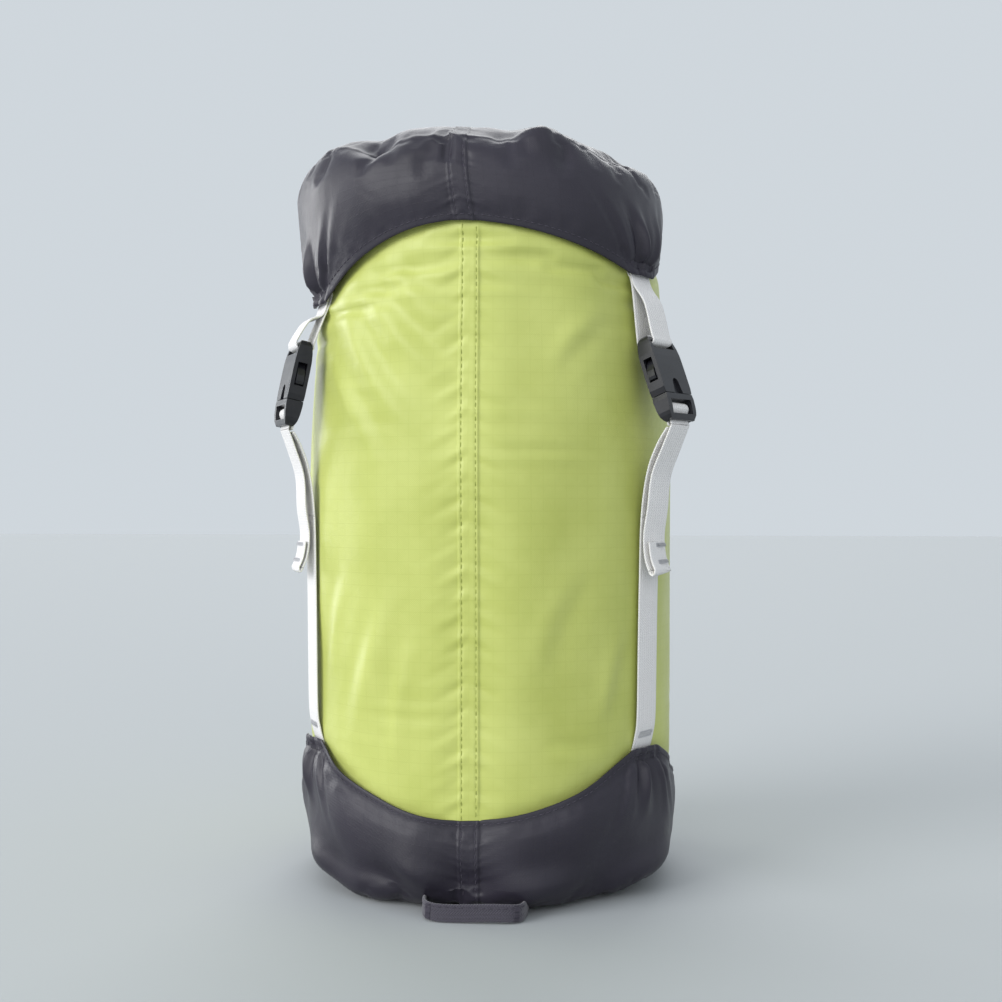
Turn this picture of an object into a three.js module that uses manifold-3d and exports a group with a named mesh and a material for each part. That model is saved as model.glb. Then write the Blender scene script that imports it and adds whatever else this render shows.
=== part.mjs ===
// A three-strap compression sack: a round fabric sack with a drawcord mouth, a scalloped base cap and a
// scalloped lid, drawn together by three webbing straps with side-release buckles.
//
// Millimetres, +Z up. The origin is the centre of the underside of the base, on the sack's axis.
// Azimuth 0 is the front (-Y) and grows towards +X. A station is a group turned to a strap's azimuth,
// in which the sack's outward direction is -Y and +X runs round the sack.
import * as THREE from "three";
import { mergeVertices } from "three/addons/utils/BufferGeometryUtils.js";
import Module from "manifold-3d";

const wasm = await Module();
wasm.setup();

// ---------------------------------------------------------------- driving dimensions
const GAP = 0.3; // between pieces that touch
const FABRIC = 1.4; // the fabric's modelled thickness
const SACK_RADIUS = 84.8; // outside of the body panels
const BAND_RADIUS = SACK_RADIUS + 0.5 + FABRIC; // outside of the two caps at their scalloped edges
const HEIGHT = 344; // underside of the base to the crown of the lid

const SCALLOP_SWING = 12.5; // half the height of a scallop
const TAB_HALF = 6; // degrees, half of the short level stretch over each strap
const BASE_EDGE = 52; // mean height of the base cap's scalloped edge
const LID_EDGE = 275; // mean height of the lid's scalloped edge

const PANEL_BOTTOM = 18;
const PANEL_TOP = 293;
const MOUTH_RADIUS = 27.5; // centreline of the drawcord, drawn in
const MOUTH_HEIGHT = 318;
const SHOULDER_INNER = 29;
const CHANNEL_RADIUS = 5; // outside of the hem channel's section
const CORD_DIAMETER = 2.4;

const BASE_CORNER = 16; // rounding between the base's underside and its side
const BASE_SEAM = 70; // radius of the seam round the base disc
const BASE_BULGE = 87.3;
const LID_CORNER = 12;
const LID_SEAM = 75.2; // radius of the seam round the lid's top
const LID_CROWN = 24; // how far the lid's top is domed

const WEB_WIDTH = 15;
const WEB_THICK = 1.1;
const TAIL_END = 143; // height of the free end of each strap
const HEM_LENGTH = 12; // the end of each strap, folded back and sewn

const BUCKLE = { length: 39, width: 22, thick: 7.6, corner: 4 };
// Each strap, with the middle azimuth of the panel under it and the place of its buckle.
const STATIONS = [
  { name: "left", panel: -60, azimuth: -62, radius: 95, height: 223, tilt: 12, bow: 1.2 },
  { name: "right", panel: 60, azimuth: 58, radius: 96.2, height: 223, tilt: 20, bow: 2.2 },
  { name: "back", panel: 180, azimuth: 178, radius: 96, height: 223, tilt: 15, bow: 1.6 },
];

const COLOURS = {
  green: { color: 0xc3d36f, roughness: 0.55, metalness: 0 },
  charcoal: { color: 0x403c4a, roughness: 0.5, metalness: 0 },
  webbing: { color: 0xd8d8dc, roughness: 0.8, metalness: 0 },
  plastic: { color: 0x2b2a30, roughness: 0.35, metalness: 0 },
  cord: { color: 0x34323c, roughness: 0.8, metalness: 0 },
  steel: { color: 0xb8bcc2, roughness: 0.3, metalness: 1 },
};
const materials = Object.fromEntries(
  Object.entries(COLOURS).map(([name, look]) => [name, new THREE.MeshStandardMaterial(look)]),
);

// ---------------------------------------------------------------- helpers
const rad = THREE.MathUtils.degToRad;
const lerp = THREE.MathUtils.lerp;

function piece(name, geometry, material) {
  const mesh = new THREE.Mesh(geometry, materials[material]);
  mesh.name = name;
  return mesh;
}

// A slab bent into shape: a box grid whose points (u, v, w), each from -0.5 to 0.5, are sent where bend says.
function slab(across, along, bend) {
  const geometry = new THREE.BoxGeometry(1, 1, 1, across, along, 1);
  const points = geometry.getAttribute("position");
  for (let i = 0; i < points.count; i++) {
    points.setXYZ(i, ...bend(points.getX(i), points.getY(i), points.getZ(i)));
  }
  geometry.deleteAttribute("normal");
  geometry.deleteAttribute("uv");
  return mergeVertices(geometry, 1e-4);
}

function aroundAxis(azimuth, radius, height) {
  return [radius * Math.sin(azimuth), -radius * Math.cos(azimuth), height];
}

function solidOf(geometry) {
  const bare = geometry.index ? geometry.toNonIndexed() : geometry.clone();
  bare.deleteAttribute("normal");
  bare.deleteAttribute("uv");
  const merged = mergeVertices(bare, 1e-4);
  return new wasm.Manifold(
    new wasm.Mesh({
      numProp: 3,
      vertProperties: new Float32Array(merged.getAttribute("position").array),
      triVerts: new Uint32Array(merged.index.array),
    }),
  );
}

function geometryOf(solid) {
  const mesh = solid.getMesh();
  const geometry = new THREE.BufferGeometry();
  const stride = mesh.numProp;
  const points = new Float32Array(mesh.numVert * 3);
  for (let i = 0; i < mesh.numVert; i++) {
    points.set(mesh.vertProperties.subarray(i * stride, i * stride + 3), i * 3);
  }
  geometry.setAttribute("position", new THREE.BufferAttribute(points, 3));
  geometry.setIndex(new THREE.BufferAttribute(new Uint32Array(mesh.triVerts), 1));
  return geometry;
}

const union = (geometries) => geometries.map(solidOf).reduce((whole, next) => whole.add(next));
const cut = (solid, geometries) => geometries.map(solidOf).reduce((left, tool) => left.subtract(tool), solid);

function box(x0, x1, y0, y1, z0, z1) {
  const middle = [(x0 + x1) / 2, (y0 + y1) / 2, (z0 + z1) / 2];
  return new THREE.BoxGeometry(x1 - x0, y1 - y0, z1 - z0).translate(...middle);
}

// A ring or disc turned about the Z axis from a closed outline of [radius, height], listed anticlockwise.
function turned(outline, steps = 36) {
  const profile = outline.map(([radius, height]) => new THREE.Vector2(radius, height));
  if (profile[0].x > 0) profile.push(profile[0].clone());
  return new THREE.LatheGeometry(profile, steps).rotateX(Math.PI / 2);
}

const arcPoints = (cx, cy, radius, from, to, steps) =>
  Array.from({ length: steps + 1 }, (_, i) => {
    const angle = rad(lerp(from, to, i / steps));
    return [cx + radius * Math.cos(angle), cy + radius * Math.sin(angle)];
  });

// ---------------------------------------------------------------- fabric shells
const SECTOR = rad(120);
const EDGE_TRIM = 0.15 / SACK_RADIUS; // half the gap between two panels, as an angle

// How far a cap's edge is drawn back from its mean: furthest at the seams, least at the tabs over the straps.
function scallop(azimuth) {
  const fromStrap = Math.abs(THREE.MathUtils.euclideanModulo(azimuth, SECTOR) - SECTOR / 2);
  const share = Math.min(1, (SECTOR / 2 - fromStrap) / (SECTOR / 2 - rad(TAB_HALF)));
  return SCALLOP_SWING * (1 - 2 * share ** 1.8);
}

// A third of a shell, between two seams.
// profile(t, azimuth) gives [radius, height, outward radius, outward height].
function shellSector(middle, rows, profile) {
  return slab(12, rows, (u, v, w) => {
    const azimuth = middle + u * (SECTOR - 2 * EDGE_TRIM);
    const [radius, height, outRadius, outHeight] = profile(v + 0.5, azimuth);
    const depth = (0.5 - w) * FABRIC;
    return aroundAxis(azimuth, radius - depth * outRadius, height - depth * outHeight);
  });
}

const bodyProfile = (t) => [SACK_RADIUS, lerp(PANEL_BOTTOM, PANEL_TOP, t), 1, 0];

const CORNER_SHARE = 0.4; // of the rows, on a cap's rounded corner

function baseProfile(t, azimuth) {
  if (t < CORNER_SHARE) {
    const angle = rad(lerp(-86, 0, t / CORNER_SHARE));
    const out = [Math.cos(angle), Math.sin(angle)];
    const centre = BASE_BULGE - BASE_CORNER;
    return [centre + BASE_CORNER * out[0], BASE_CORNER + GAP + BASE_CORNER * out[1], ...out];
  }
  const rise = (t - CORNER_SHARE) / (1 - CORNER_SHARE);
  const edge = BASE_EDGE - scallop(azimuth);
  return [lerp(BASE_BULGE, BAND_RADIUS, rise), lerp(BASE_CORNER + GAP, edge, rise), 1, 0];
}

function lidProfile(t, azimuth) {
  const side = 1 - CORNER_SHARE;
  const centre = [LID_SEAM, HEIGHT - LID_CROWN - LID_CORNER];
  if (t > side) {
    const angle = rad(lerp(0, 88, (t - side) / CORNER_SHARE));
    const out = [Math.cos(angle), Math.sin(angle)];
    return [centre[0] + LID_CORNER * out[0], centre[1] + LID_CORNER * out[1], ...out];
  }
  const rise = t / side;
  const edge = LID_EDGE + scallop(azimuth);
  return [lerp(BAND_RADIUS, LID_SEAM + LID_CORNER, rise), lerp(edge, centre[1], rise), 1, 0];
}

const bodyPanel = (middle) => shellSector(middle, 4, bodyProfile);
const baseBand = (middle) => shellSector(middle, 7, baseProfile);
const lidBand = (middle) => shellSector(middle, 7, lidProfile);

function baseDisc() {
  const radius = BASE_SEAM - GAP;
  return turned([[0, 0], [radius, 0], [radius, FABRIC], [0, FABRIC]]);
}

function lidTop() {
  const radius = LID_SEAM - 0.9;
  const top = HEIGHT - LID_CROWN;
  const rings = [0.35, 0.7];
  const dome = (share) => LID_CROWN * (1 - share * share);
  const under = rings.map((share) => [radius * share, top - FABRIC + dome(share)]);
  const over = rings.toReversed().map((share) => [radius * share, top + dome(share)]);
  return turned([
    [0, HEIGHT - FABRIC],
    ...under,
    [radius, top - FABRIC],
    [radius, top],
    ...over,
    [0, HEIGHT],
  ]);
}

// ---------------------------------------------------------------- drawcord mouth
function mouthShoulder() {
  const steps = 6;
  const span = SACK_RADIUS - SHOULDER_INNER;
  const rise = MOUTH_HEIGHT - CHANNEL_RADIUS - PANEL_TOP - 2 * GAP;
  const curve = (inset) =>
    Array.from({ length: steps + 1 }, (_, i) => {
      const angle = rad(90 * (i / steps));
      return [
        SHOULDER_INNER + (span - inset) * Math.cos(angle),
        PANEL_TOP + GAP + (rise - inset) * Math.sin(angle),
      ];
    });
  return turned([...curve(0), ...curve(FABRIC).reverse()]);
}

const EYELET = { hole: 3.5, bore: 2.9, flange: 5, thick: 0.8, depth: 2 };

// The hem is a tube of fabric round the cord, left open in a slit on its inside.
function hemChannel() {
  const inner = CHANNEL_RADIUS - FABRIC;
  const slit = 22;
  const outside = arcPoints(MOUTH_RADIUS, MOUTH_HEIGHT, CHANNEL_RADIUS, -180 + slit, 180 - slit, 9);
  const inside = arcPoints(MOUTH_RADIUS, MOUTH_HEIGHT, inner, 180 - slit, -180 + slit, 9);
  const ring = solidOf(turned([...outside, ...inside]));
  const cordHole = new THREE.CylinderGeometry(EYELET.hole, EYELET.hole, 8, 16).translate(
    0,
    -(MOUTH_RADIUS + CHANNEL_RADIUS),
    MOUTH_HEIGHT,
  );
  return geometryOf(cut(ring, [cordHole]));
}

// A metal ring on the outside of the hem channel, where both ends of the drawcord come out.
function cordEyelet() {
  const front = MOUTH_RADIUS + CHANNEL_RADIUS + GAP;
  const ring = [
    [EYELET.bore, -EYELET.depth],
    [EYELET.hole - GAP, -EYELET.depth],
    [EYELET.hole - GAP, 0],
    [EYELET.flange, 0],
    [EYELET.flange, EYELET.thick],
    [EYELET.bore, EYELET.thick],
  ];
  return turned(ring, 16)
    .rotateX(Math.PI / 2)
    .translate(0, -front, MOUTH_HEIGHT);
}

function tube(curve, diameter, steps, sides = 8) {
  const section = new THREE.Shape(
    Array.from({ length: sides }, (_, i) => {
      const angle = (2 * Math.PI * i) / sides;
      return new THREE.Vector2(Math.cos(angle), Math.sin(angle)).multiplyScalar(diameter / 2);
    }),
  );
  return new THREE.ExtrudeGeometry(section, { steps, extrudePath: curve, bevelEnabled: false });
}

const LOCK = {
  y: -43.5,
  height: 318.2,
  radius: 5,
  bore: 4.1,
  piston: 3.8,
  closedEnd: -11.5,
  openEnd: 8,
  wall: 1.5,
  travel: 3,
  buttonFrom: -5.2,
  buttonTo: 11.5,
};
const CORD_SPACING = 1.5; // half the distance between the drawcord's two ends
const KNOT = { y: -54.5, radius: 3, shape: [1.25, 0.72, 0.85] };

// The drawcord lies in the hem channel all the way round, and its two ends leave through the eyelet.
function drawcord() {
  const ring = turned(arcPoints(MOUTH_RADIUS, MOUTH_HEIGHT, CORD_DIAMETER / 2, 0, 315, 7), 48);
  const ends = [-1, 1].map((side) => {
    const x = side * CORD_SPACING;
    const route = new THREE.CatmullRomCurve3([
      new THREE.Vector3(x, -MOUTH_RADIUS, MOUTH_HEIGHT),
      new THREE.Vector3(x, -(MOUTH_RADIUS + CHANNEL_RADIUS), MOUTH_HEIGHT),
      new THREE.Vector3(x, LOCK.y + 6, LOCK.height),
      new THREE.Vector3(x, LOCK.y - 6, LOCK.height),
      new THREE.Vector3(x, KNOT.y + 1.2, LOCK.height - 1),
    ]);
    return tube(route, CORD_DIAMETER, 12);
  });
  return geometryOf(union([ring, ...ends]));
}

function cordKnot() {
  return new THREE.SphereGeometry(KNOT.radius, 12, 8)
    .scale(...KNOT.shape)
    .translate(0, KNOT.y - 1.6, LOCK.height - 1);
}

// Barrel, button and spring are turned about the X axis, then carried to the lock's place.
const lockTurned = (outline, steps = 20) => turned(outline, steps).rotateY(Math.PI / 2);
const toLock = (geometry) => geometry.translate(0, LOCK.y, LOCK.height);
const CORD_ROOM = CORD_DIAMETER / 2 + 0.35; // half of the hole that the cord runs through
const cordSlot = (x0, x1) => box(x0, x1, -8, 8, -CORD_ROOM, CORD_ROOM);

function lockBarrel() {
  const bevel = 1;
  const shell = lockTurned([
    [0, LOCK.closedEnd],
    [LOCK.radius - bevel, LOCK.closedEnd],
    [LOCK.radius, LOCK.closedEnd + bevel],
    [LOCK.radius, LOCK.openEnd - bevel],
    [LOCK.radius - 0.5, LOCK.openEnd],
    [LOCK.bore, LOCK.openEnd],
    [LOCK.bore, LOCK.closedEnd + LOCK.wall],
    [0, LOCK.closedEnd + LOCK.wall],
  ]);
  const reach = CORD_SPACING + CORD_ROOM;
  return toLock(geometryOf(cut(solidOf(shell), [cordSlot(-reach, reach)])));
}

function lockButton() {
  const bevel = 0.8;
  const piston = lockTurned([
    [0, LOCK.buttonFrom],
    [LOCK.piston, LOCK.buttonFrom],
    [LOCK.piston, LOCK.buttonTo - bevel],
    [LOCK.piston - bevel, LOCK.buttonTo],
    [0, LOCK.buttonTo],
  ]);
  const reach = CORD_SPACING + CORD_ROOM;
  return toLock(geometryOf(cut(solidOf(piston), [cordSlot(-reach, reach + LOCK.travel)])));
}

class Helix extends THREE.Curve {
  constructor(radius, pitch, turns) {
    super();
    Object.assign(this, { radius, pitch, turns });
  }
  getPoint(t, target = new THREE.Vector3()) {
    const angle = 2 * Math.PI * this.turns * t;
    return target.set(this.pitch * this.turns * t, this.radius * Math.cos(angle), this.radius * Math.sin(angle));
  }
}

function lockSpring() {
  const wire = 0.5;
  const room = LOCK.buttonFrom - (LOCK.closedEnd + LOCK.wall) - wire - 0.4;
  const turns = 3;
  const coil = tube(new Helix(2.7, room / turns, turns), wire, turns * 12, 6);
  return toLock(coil.translate(LOCK.closedEnd + LOCK.wall + wire / 2 + 0.2, 0, 0));
}

// ---------------------------------------------------------------- buckles
// A buckle's own frame: X across, Y up along the buckle, Z outwards. Its middle is the origin.
const HALF = BUCKLE.length / 2;
const MOUTH_LINE = -7.6; // where the socket ends and the plug's flange begins
const SLOT_HALF = 8.2;
// The socket's slot, and half the depth of the bar over it.
const WEB_SLOT = { bottom: 13.2, top: 16.6, barHalf: 3 };
const PRONG = { root: 5.6, thick: 3.4, arm: 2.6, ear: BUCKLE.width / 2 + 1, earLow: -0.6, earHigh: 8.2 };

function plate(outline, thick) {
  const shape = new THREE.Shape(outline.map(([x, y]) => new THREE.Vector2(x, y)));
  return new THREE.ExtrudeGeometry(shape, { depth: thick, bevelEnabled: false }).translate(0, 0, -thick / 2);
}

// The same outline on both sides of x = 0, given from the bottom right upwards.
const mirrored = (right) => [...right, ...right.toReversed().map(([x, y]) => [-x, y])];

// The buckle seen from its side: fullest in the middle and slim at both ends, as a bar across X.
function pebble() {
  const steps = 12;
  const swell = (y) => (BUCKLE.thick / 2) * Math.sqrt(1 - Math.abs(y / (HALF + 1)) ** 4);
  const heights = Array.from({ length: steps + 1 }, (_, i) => -HALF * Math.cos((Math.PI * i) / steps));
  const side = [...heights.map((y) => [swell(y), y]), ...heights.toReversed().map((y) => [-swell(y), y])];
  return solidOf(plate(side, BUCKLE.width + 2).rotateY(-Math.PI / 2));
}

function socket() {
  const half = BUCKLE.width / 2;
  const outline = mirrored([
    [half - 0.5, MOUTH_LINE],
    [half, MOUTH_LINE + 2.5],
    [half, 11],
    ...arcPoints(half - 0.6 - BUCKLE.corner, HALF - BUCKLE.corner, BUCKLE.corner, 0, 90, 4),
  ]);
  const outside = solidOf(plate(outline, BUCKLE.thick)).intersect(pebble());
  const depth = PRONG.thick / 2 + 0.4;
  const cavity = box(-(half - 1.7), half - 1.7, MOUTH_LINE - 1, 11, -depth, depth);
  const windows = [-1, 1].map((side) =>
    box(...[side * (half - 3), side * (half + 2)].sort((a, b) => a - b), -1.4, 9, -depth, depth),
  );
  const webSlot = box(-SLOT_HALF, SLOT_HALF, WEB_SLOT.bottom, WEB_SLOT.top, -9, 9);
  const notchEnd = MOUTH_LINE + 4.5;
  const notchFoot = [-3.6, 3.6].map((x) => [x, MOUTH_LINE - 1]);
  const notch = plate([...notchFoot, ...arcPoints(0, notchEnd, 2.4, 0, 180, 6)], 4).translate(0, 0, 4.3);
  return geometryOf(cut(outside, [cavity, ...windows, webSlot, notch]));
}

const BAR_A = { y: -13.2, z: -0.2, radius: 1 };
const BAR_B = { top: -16.7, back: 0.7, front: 2.9 };

function plug() {
  const half = BUCKLE.width / 2;
  const outline = mirrored([
    ...arcPoints(half - BUCKLE.corner, BUCKLE.corner - HALF, BUCKLE.corner, -90, 0, 4),
    [half, MOUTH_LINE - 2.5],
    [half - 0.5, MOUTH_LINE - GAP],
  ]);
  const frame = solidOf(plate(outline, BUCKLE.thick)).intersect(pebble());
  const opening = box(-SLOT_HALF, SLOT_HALF, -HALF - 1, -10.4, -BUCKLE.thick, BUCKLE.thick);
  const barA = new THREE.CylinderGeometry(BAR_A.radius, BAR_A.radius, 2 * half - 2, 12)
    .rotateZ(Math.PI / 2)
    .translate(0, BAR_A.y, BAR_A.z);
  const barB = box(-half + 1.5, half - 1.5, -HALF + 0.3, BAR_B.top, BAR_B.back, BAR_B.front);
  const rootHalf = PRONG.arm / 2;
  const roots = [-PRONG.root, PRONG.root].map((middle) =>
    box(middle - rootHalf, middle + rootHalf, MOUTH_LINE - 1, MOUTH_LINE + 1.2, -1.5, 1.5),
  );
  const bars = union([barA, barB]).intersect(pebble());
  return geometryOf(cut(frame, [opening]).add(bars).add(union(roots)));
}

// One springy arm with its release ear, which stands out of the socket's side window.
function prong(side) {
  const inner = PRONG.root - PRONG.arm / 2;
  const outer = PRONG.root + PRONG.arm / 2;
  const start = MOUTH_LINE + 1.2 + GAP;
  const outline = [
    [inner, start],
    [outer, start],
    [outer + 0.5, PRONG.earLow],
    [PRONG.ear - 0.4, PRONG.earLow],
    [PRONG.ear, PRONG.earLow + 1.2],
    [PRONG.ear - 0.6, 3.4],
    [PRONG.ear - 2.2, 6.4],
    [outer, PRONG.earHigh + 1.4],
    [inner + 0.4, PRONG.earHigh + 1.4],
    [inner + 1.2, 4],
  ].map(([x, y]) => [side * x, y]);
  return plate(side > 0 ? outline : outline.reverse(), PRONG.thick);
}

// ---------------------------------------------------------------- webbing
// A strip of webbing along a curve in a station's plane of [outward, up] points. thick(t) may vary along it.
function webbing(points, steps, thick = () => WEB_THICK) {
  const curve = new THREE.CatmullRomCurve3(points.map(([out, up]) => new THREE.Vector3(0, -out, up)));
  const stations = Array.from({ length: steps + 1 }, (_, i) => {
    const at = curve.getPointAt(i / steps);
    const along = curve.getTangentAt(i / steps);
    return { at, outward: new THREE.Vector3(0, -along.z, along.y) };
  });
  return slab(1, steps, (u, v, w) => {
    const t = v + 0.5;
    const { at, outward } = stations[Math.round(t * steps)];
    const away = w * thick(t);
    return [u * WEB_WIDTH, at.y + away * outward.y, at.z + away * outward.z];
  });
}

// Where a point of a station's buckle lies in the station's plane, as [outward, up].
function fromBuckle(station, z, y) {
  const tilt = rad(station.tilt);
  return [
    station.radius + z * Math.cos(tilt) - y * Math.sin(tilt),
    station.height + z * Math.sin(tilt) + y * Math.cos(tilt),
  ];
}

const WEB_ON_BODY = BAND_RADIUS - FABRIC / 2; // centre of a strap that lies on the body
const THREAD = { behind: -2.05, tail: -0.35, exit: -HALF - 1 };

// From the peak of the base cap, up the body and out to the buckle's adjuster.
function strapRun(station) {
  const start = BASE_EDGE + SCALLOP_SWING + GAP;
  const end = fromBuckle(station, THREAD.behind, THREAD.exit - 2 * GAP);
  const route = [
    [WEB_ON_BODY, start],
    [WEB_ON_BODY + 0.3, start + 25],
    [WEB_ON_BODY + station.bow, start + 62],
    [WEB_ON_BODY + 1.3 * station.bow, start + 95],
    [lerp(WEB_ON_BODY, end[0], 0.42), start + 120],
    end,
  ];
  return webbing(route, 18);
}

// Up behind both bars, round the middle bar, and down again behind the lower bar.
function strapThread(station) {
  const turn = BAR_A.radius + GAP + WEB_THICK / 2;
  const around = [180, 135, 90, 45, 0].map((angle) => [
    BAR_A.z + turn * Math.cos(rad(angle)),
    BAR_A.y + turn * Math.sin(rad(angle)),
  ]);
  const route = [
    [THREAD.behind, THREAD.exit],
    [THREAD.behind, -16.6],
    ...around,
    [1.35, -14.4],
    [0.35, -15.8],
    [THREAD.tail, -17.4],
    [THREAD.tail, THREAD.exit],
  ];
  return webbing(route.map(([z, y]) => fromBuckle(station, z, y)), 26);
}

// The free end, which hangs over the run and has its end folded back and sewn.
function strapTail(station) {
  const start = fromBuckle(station, THREAD.tail, THREAD.exit - 3 * GAP);
  const rest = WEB_ON_BODY + 4.6 + station.bow;
  const route = [
    start,
    [lerp(start[0], rest, 0.45), start[1] - 16],
    [rest, start[1] - 34],
    [rest - 0.4, TAIL_END + HEM_LENGTH],
    [rest + 1.6, TAIL_END],
  ];
  const length = start[1] - TAIL_END;
  const folded = 1 - HEM_LENGTH / length;
  return webbing(route, 14, (t) => (t > folded ? 2 * WEB_THICK : WEB_THICK));
}

// A loop of webbing from the lid's peak, round the socket's top bar.
function lidLoop(station) {
  const top = [WEB_ON_BODY, LID_EDGE - SCALLOP_SWING - GAP];
  const barTop = (HALF + WEB_SLOT.top) / 2;
  const bar = fromBuckle(station, 0, barTop);
  const reach = WEB_SLOT.barHalf + GAP + WEB_THICK / 2;
  const drop = (HALF - WEB_SLOT.top) / 2 + GAP + WEB_THICK / 2;
  const corner = (z, y) => fromBuckle(station, z, barTop + y);
  const centre = [
    corner(-reach, drop),
    corner(-reach, -drop + 0.3),
    corner(-reach + 0.8, -drop),
    corner(reach - 0.8, -drop),
    corner(reach, -drop + 0.3),
    corner(reach, drop),
  ];
  const outline = (grow) => {
    const ring = centre.map(([out, up]) => new THREE.Vector2(out, up));
    const middle = new THREE.Vector2(...bar);
    return ring.map((point) => point.clone().add(point.clone().sub(middle).setLength(grow)));
  };
  const half = WEB_THICK / 2;
  const outer = new THREE.Shape([
    new THREE.Vector2(top[0] - half, top[1]),
    ...outline(half),
    new THREE.Vector2(top[0] + half, top[1]),
  ]);
  const inner = outline(-half);
  const apex = new THREE.Vector2(...top).lerp(new THREE.Vector2(...bar), 0.22);
  outer.holes.push(new THREE.Path([apex, ...inner]));
  // The outline is drawn in the plane of [outward, up]: its X goes to -Y and its Y to +Z.
  return new THREE.ExtrudeGeometry(outer, { depth: WEB_WIDTH, bevelEnabled: false })
    .translate(0, 0, -WEB_WIDTH / 2)
    .rotateX(Math.PI / 2)
    .rotateZ(-Math.PI / 2);
}

// ---------------------------------------------------------------- haul loop
const HAUL = { half: 21, out: 93, low: 0.3, high: 8.8, thick: 1.6, root: 86.8 };

// A strap stood on its edge in front of the base, its two ends sewn to the base's rounded corner.
function haulLoop() {
  return slab(16, 2, (u, v, w) => {
    const t = 2 * Math.abs(u);
    const x = 2 * u * HAUL.half;
    const bend = Math.sqrt(1 - Math.pow(t, 4));
    const base = Math.sqrt(HAUL.root ** 2 - x ** 2);
    const out = lerp(base, HAUL.out, bend);
    const up = lerp(HAUL.low, HAUL.high, v + 0.5);
    return [x, -out - w * HAUL.thick, up];
  });
}

// ---------------------------------------------------------------- assembly
function atStation(station, ...meshes) {
  const group = new THREE.Group();
  group.rotation.z = rad(station.azimuth);
  group.add(...meshes);
  return group;
}

function inBuckle(station, ...meshes) {
  const group = new THREE.Group();
  // X across stays X, Y up goes to Z and Z outwards goes to -Y, less the tilt that leans the lower end outwards.
  group.position.set(0, -station.radius, station.height);
  group.rotation.x = rad(90 - station.tilt);
  group.add(...meshes);
  return group;
}

const sack = new THREE.Group();

sack.add(
  piece("base_disc", baseDisc(), "charcoal"),
  piece("lid_top", lidTop(), "charcoal"),
  piece("mouth_shoulder", mouthShoulder(), "green"),
  piece("hem_channel", hemChannel(), "green"),
  piece("cord_eyelet", cordEyelet(), "steel"),
  piece("drawcord", drawcord(), "cord"),
  piece("cord_knot", cordKnot(), "cord"),
  piece("cord_lock_barrel", lockBarrel(), "plastic"),
  piece("cord_lock_button", lockButton(), "plastic"),
  piece("cord_lock_spring", lockSpring(), "steel"),
  piece("haul_loop", haulLoop(), "charcoal"),
);

for (const station of STATIONS) {
  const middle = rad(station.panel);
  sack.add(
    piece(`body_panel_${station.name}`, bodyPanel(middle), "green"),
    piece(`base_band_${station.name}`, baseBand(middle), "charcoal"),
    piece(`lid_band_${station.name}`, lidBand(middle), "charcoal"),
  );
  const buckle = inBuckle(
    station,
    piece(`socket_${station.name}`, socket(), "plastic"),
    piece(`plug_${station.name}`, plug(), "plastic"),
    piece(`prong_${station.name}_a`, prong(1), "plastic"),
    piece(`prong_${station.name}_b`, prong(-1), "plastic"),
  );
  sack.add(
    atStation(
      station,
      buckle,
      piece(`lid_loop_${station.name}`, lidLoop(station), "webbing"),
      piece(`strap_run_${station.name}`, strapRun(station), "webbing"),
      piece(`strap_thread_${station.name}`, strapThread(station), "webbing"),
      piece(`strap_tail_${station.name}`, strapTail(station), "webbing"),
    ),
  );
}

export default sack;
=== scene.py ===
"""A packed compression sack: cloth, webbing, thread and finishes round its CAD frame.

Everything is in metres in the frame's own space, with Z up. An azimuth is measured round the sack's
axis from its front, -Y, towards +X. Cloth is built as a grid of points wrapped round the axis.
"""
import math

import bpy
import numpy as np
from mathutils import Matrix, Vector


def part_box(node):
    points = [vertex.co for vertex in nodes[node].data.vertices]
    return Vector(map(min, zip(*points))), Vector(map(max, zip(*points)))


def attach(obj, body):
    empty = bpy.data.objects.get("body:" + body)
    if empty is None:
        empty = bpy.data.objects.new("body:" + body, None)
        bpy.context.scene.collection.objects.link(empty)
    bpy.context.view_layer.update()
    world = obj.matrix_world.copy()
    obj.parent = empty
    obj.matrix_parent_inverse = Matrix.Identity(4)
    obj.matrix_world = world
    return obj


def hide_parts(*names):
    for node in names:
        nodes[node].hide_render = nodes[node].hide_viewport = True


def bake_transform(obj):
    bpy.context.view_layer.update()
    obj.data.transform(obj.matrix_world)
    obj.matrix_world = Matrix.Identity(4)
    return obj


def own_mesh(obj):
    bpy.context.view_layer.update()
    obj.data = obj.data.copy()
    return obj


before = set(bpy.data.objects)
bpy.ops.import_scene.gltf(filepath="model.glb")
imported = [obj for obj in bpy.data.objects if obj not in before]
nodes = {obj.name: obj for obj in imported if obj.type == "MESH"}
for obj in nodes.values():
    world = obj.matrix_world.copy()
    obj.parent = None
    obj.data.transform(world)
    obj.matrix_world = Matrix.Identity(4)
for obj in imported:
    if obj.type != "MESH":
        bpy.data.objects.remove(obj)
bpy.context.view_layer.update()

MM = 0.001
DEG = math.pi / 180

# ---------------------------------------------------------------- sizes
BODY_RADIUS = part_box("mouth_shoulder")[1].x
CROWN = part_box("lid_top")[1].z
CAP_RADIUS = BODY_RADIUS + 1.9 * MM  # outside of the two caps, at their edges
SEAMS = [0, 120, -120]
STITCH_OFF = 3.1 * MM  # each of a seam's two lines of stitches, from its middle
HEM_STITCH = 3.6 * MM  # the caps' hem stitches, from the edge
LID_APEX = 287 * MM  # the height of the lid's edge at the seams
BASE_APEX = 39 * MM  # and of the base's
TAB_HALF = 6  # degrees, half of the level stretch over each strap
SECTOR_HALF = 60  # degrees, from a strap to the seam on either side of it
WEB_WIDTH = 15 * MM
WEB_THICK = 1.2 * MM
FLOOR_GAP = 0.3 * MM

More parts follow.
